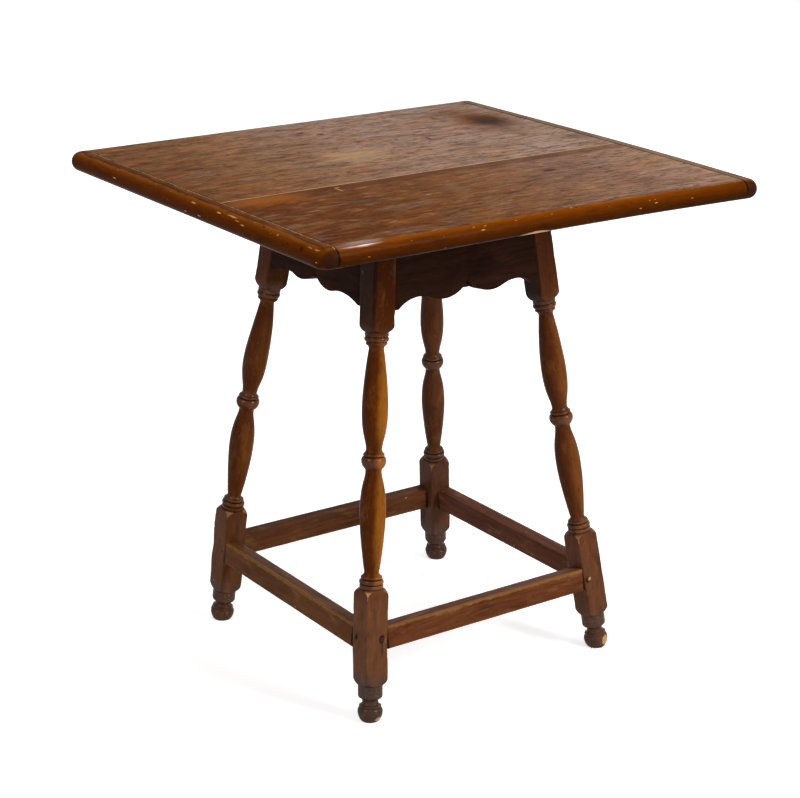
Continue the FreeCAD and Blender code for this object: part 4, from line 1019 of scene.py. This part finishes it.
def make_studio():
    """Pale floor that sweeps up into a low wall all round; from below it lets the view through."""
    bm = bmesh.new()
    corner = draw_line(bm, bm.verts.new((0, 0, 0)), (SWEEP_FLOOR, 0, 0), 6)
    corner = draw_arc(bm, corner, corner.co + Vector((0, 0, SWEEP_BEND)), (0, -1, 0), math.pi / 2, 12)
    draw_line(bm, corner, (0, 0, SWEEP_WALL))
    turn_round(bm, SWEEP_SEGMENTS, 1e-5)
    for face in bm.faces:
        if face.normal.z < 0 or face.normal.dot(face.calc_center_median().xy.to_3d()) > 1e-4:
            face.normal_flip()
    paper, tree = new_finish("studio_paper")
    away = measure(tree, "LENGTH", put(tree, "TexCoord").outputs["Object"])
    glow = times(tree, seen_or_mirrored(tree), ease(tree, away, *FLOOR_GLOW))
    shader = put(tree, "BsdfPrincipled", {
        "Base Color": (0.82, 0.82, 0.82, 1), "Roughness": 0.9, "Specular IOR Level": 0.0,
        "Emission Color": (1, 1, 1, 1), "Emission Strength": glow})
    back = put(tree, "NewGeometry").outputs["Backfacing"]
    clear = put(tree, "BsdfTransparent")
    show(tree, put(tree, "MixShader", {0: back, 1: shader.outputs[0], 2: clear.outputs[0]}))
    sweep = new_object(bm, "studio_sweep", paper)


def make_lamp(name, place, target, width, height, watts, mirrored=True):
    light = bpy.data.lights.new(name, "AREA")
    light.shape = "RECTANGLE"
    light.size = width
    light.size_y = height
    light.energy = watts
    lamp = bpy.data.objects.new(name, light)
    lamp.location = place
    lamp.rotation_euler = (Vector(target) - Vector(place)).to_track_quat("-Z", "Y").to_euler()
    lamp.visible_glossy = mirrored
    bpy.context.scene.collection.objects.link(lamp)


def make_surroundings():
    """White all round to look at, and a little light from everywhere."""
    world = bpy.data.worlds.new("studio")
    bpy.context.scene.world = world
    world.use_nodes = True
    tree = world.node_tree
    tree.nodes.clear()
    glow = calc(tree, "MULTIPLY_ADD", seen_or_mirrored(tree), 1.0 - WORLD_LIGHT, WORLD_LIGHT)
    show(tree, put(tree, "Background", {"Color": (1, 1, 1, 1), "Strength": glow}), "OutputWorld")


make_studio()
make_surroundings()
make_lamp("overhead_softbox", (0.85, -0.45, 2.85), (0, 0, 0.5), 1.0, 1.0, 30)
make_lamp("front_softbox", (1.15, -2.35, 1.6), (0, 0, 0.4), 0.7, 1.0, 50)
make_lamp("right_softbox", (2.5, 1.9, 1.9), (0, 0, 0.7), 1.4, 1.0, 16)
make_lamp("left_softbox", (-2.5, -0.4, 1.9), (0, 0, 0.4), 1.2, 1.4, 27)
make_lamp("back_softbox", (0.5, 2.8, 1.7), (0, 0, 0.4), 1.4, 1.2, 15, mirrored=False)

CAMERA_PLACE = (-1.6023, -2.2986, 1.3231)
CAMERA_LENS = 94.18
# Degrees that the camera looks round to the right of straight back, down from level, and leans over.
LOOK_ROUND = 34.721
LOOK_DOWN = 18.966
CAMERA_LEAN = 0.195

camera = bpy.data.cameras.new("camera")
camera.sensor_fit = "HORIZONTAL"
camera.sensor_width = 36
camera.lens = CAMERA_LENS
viewer = bpy.data.objects.new("camera", camera)
viewer.matrix_world = (Matrix.Translation(CAMERA_PLACE)
                       @ Matrix.Rotation(math.radians(-LOOK_ROUND), 4, "Z")
                       @ Matrix.Rotation(math.radians(90 - LOOK_DOWN), 4, "X")
                       @ Matrix.Rotation(math.radians(CAMERA_LEAN), 4, "Z"))
bpy.context.scene.collection.objects.link(viewer)
bpy.context.scene.camera = viewer
bpy.context.scene.view_settings.view_transform = "Standard"
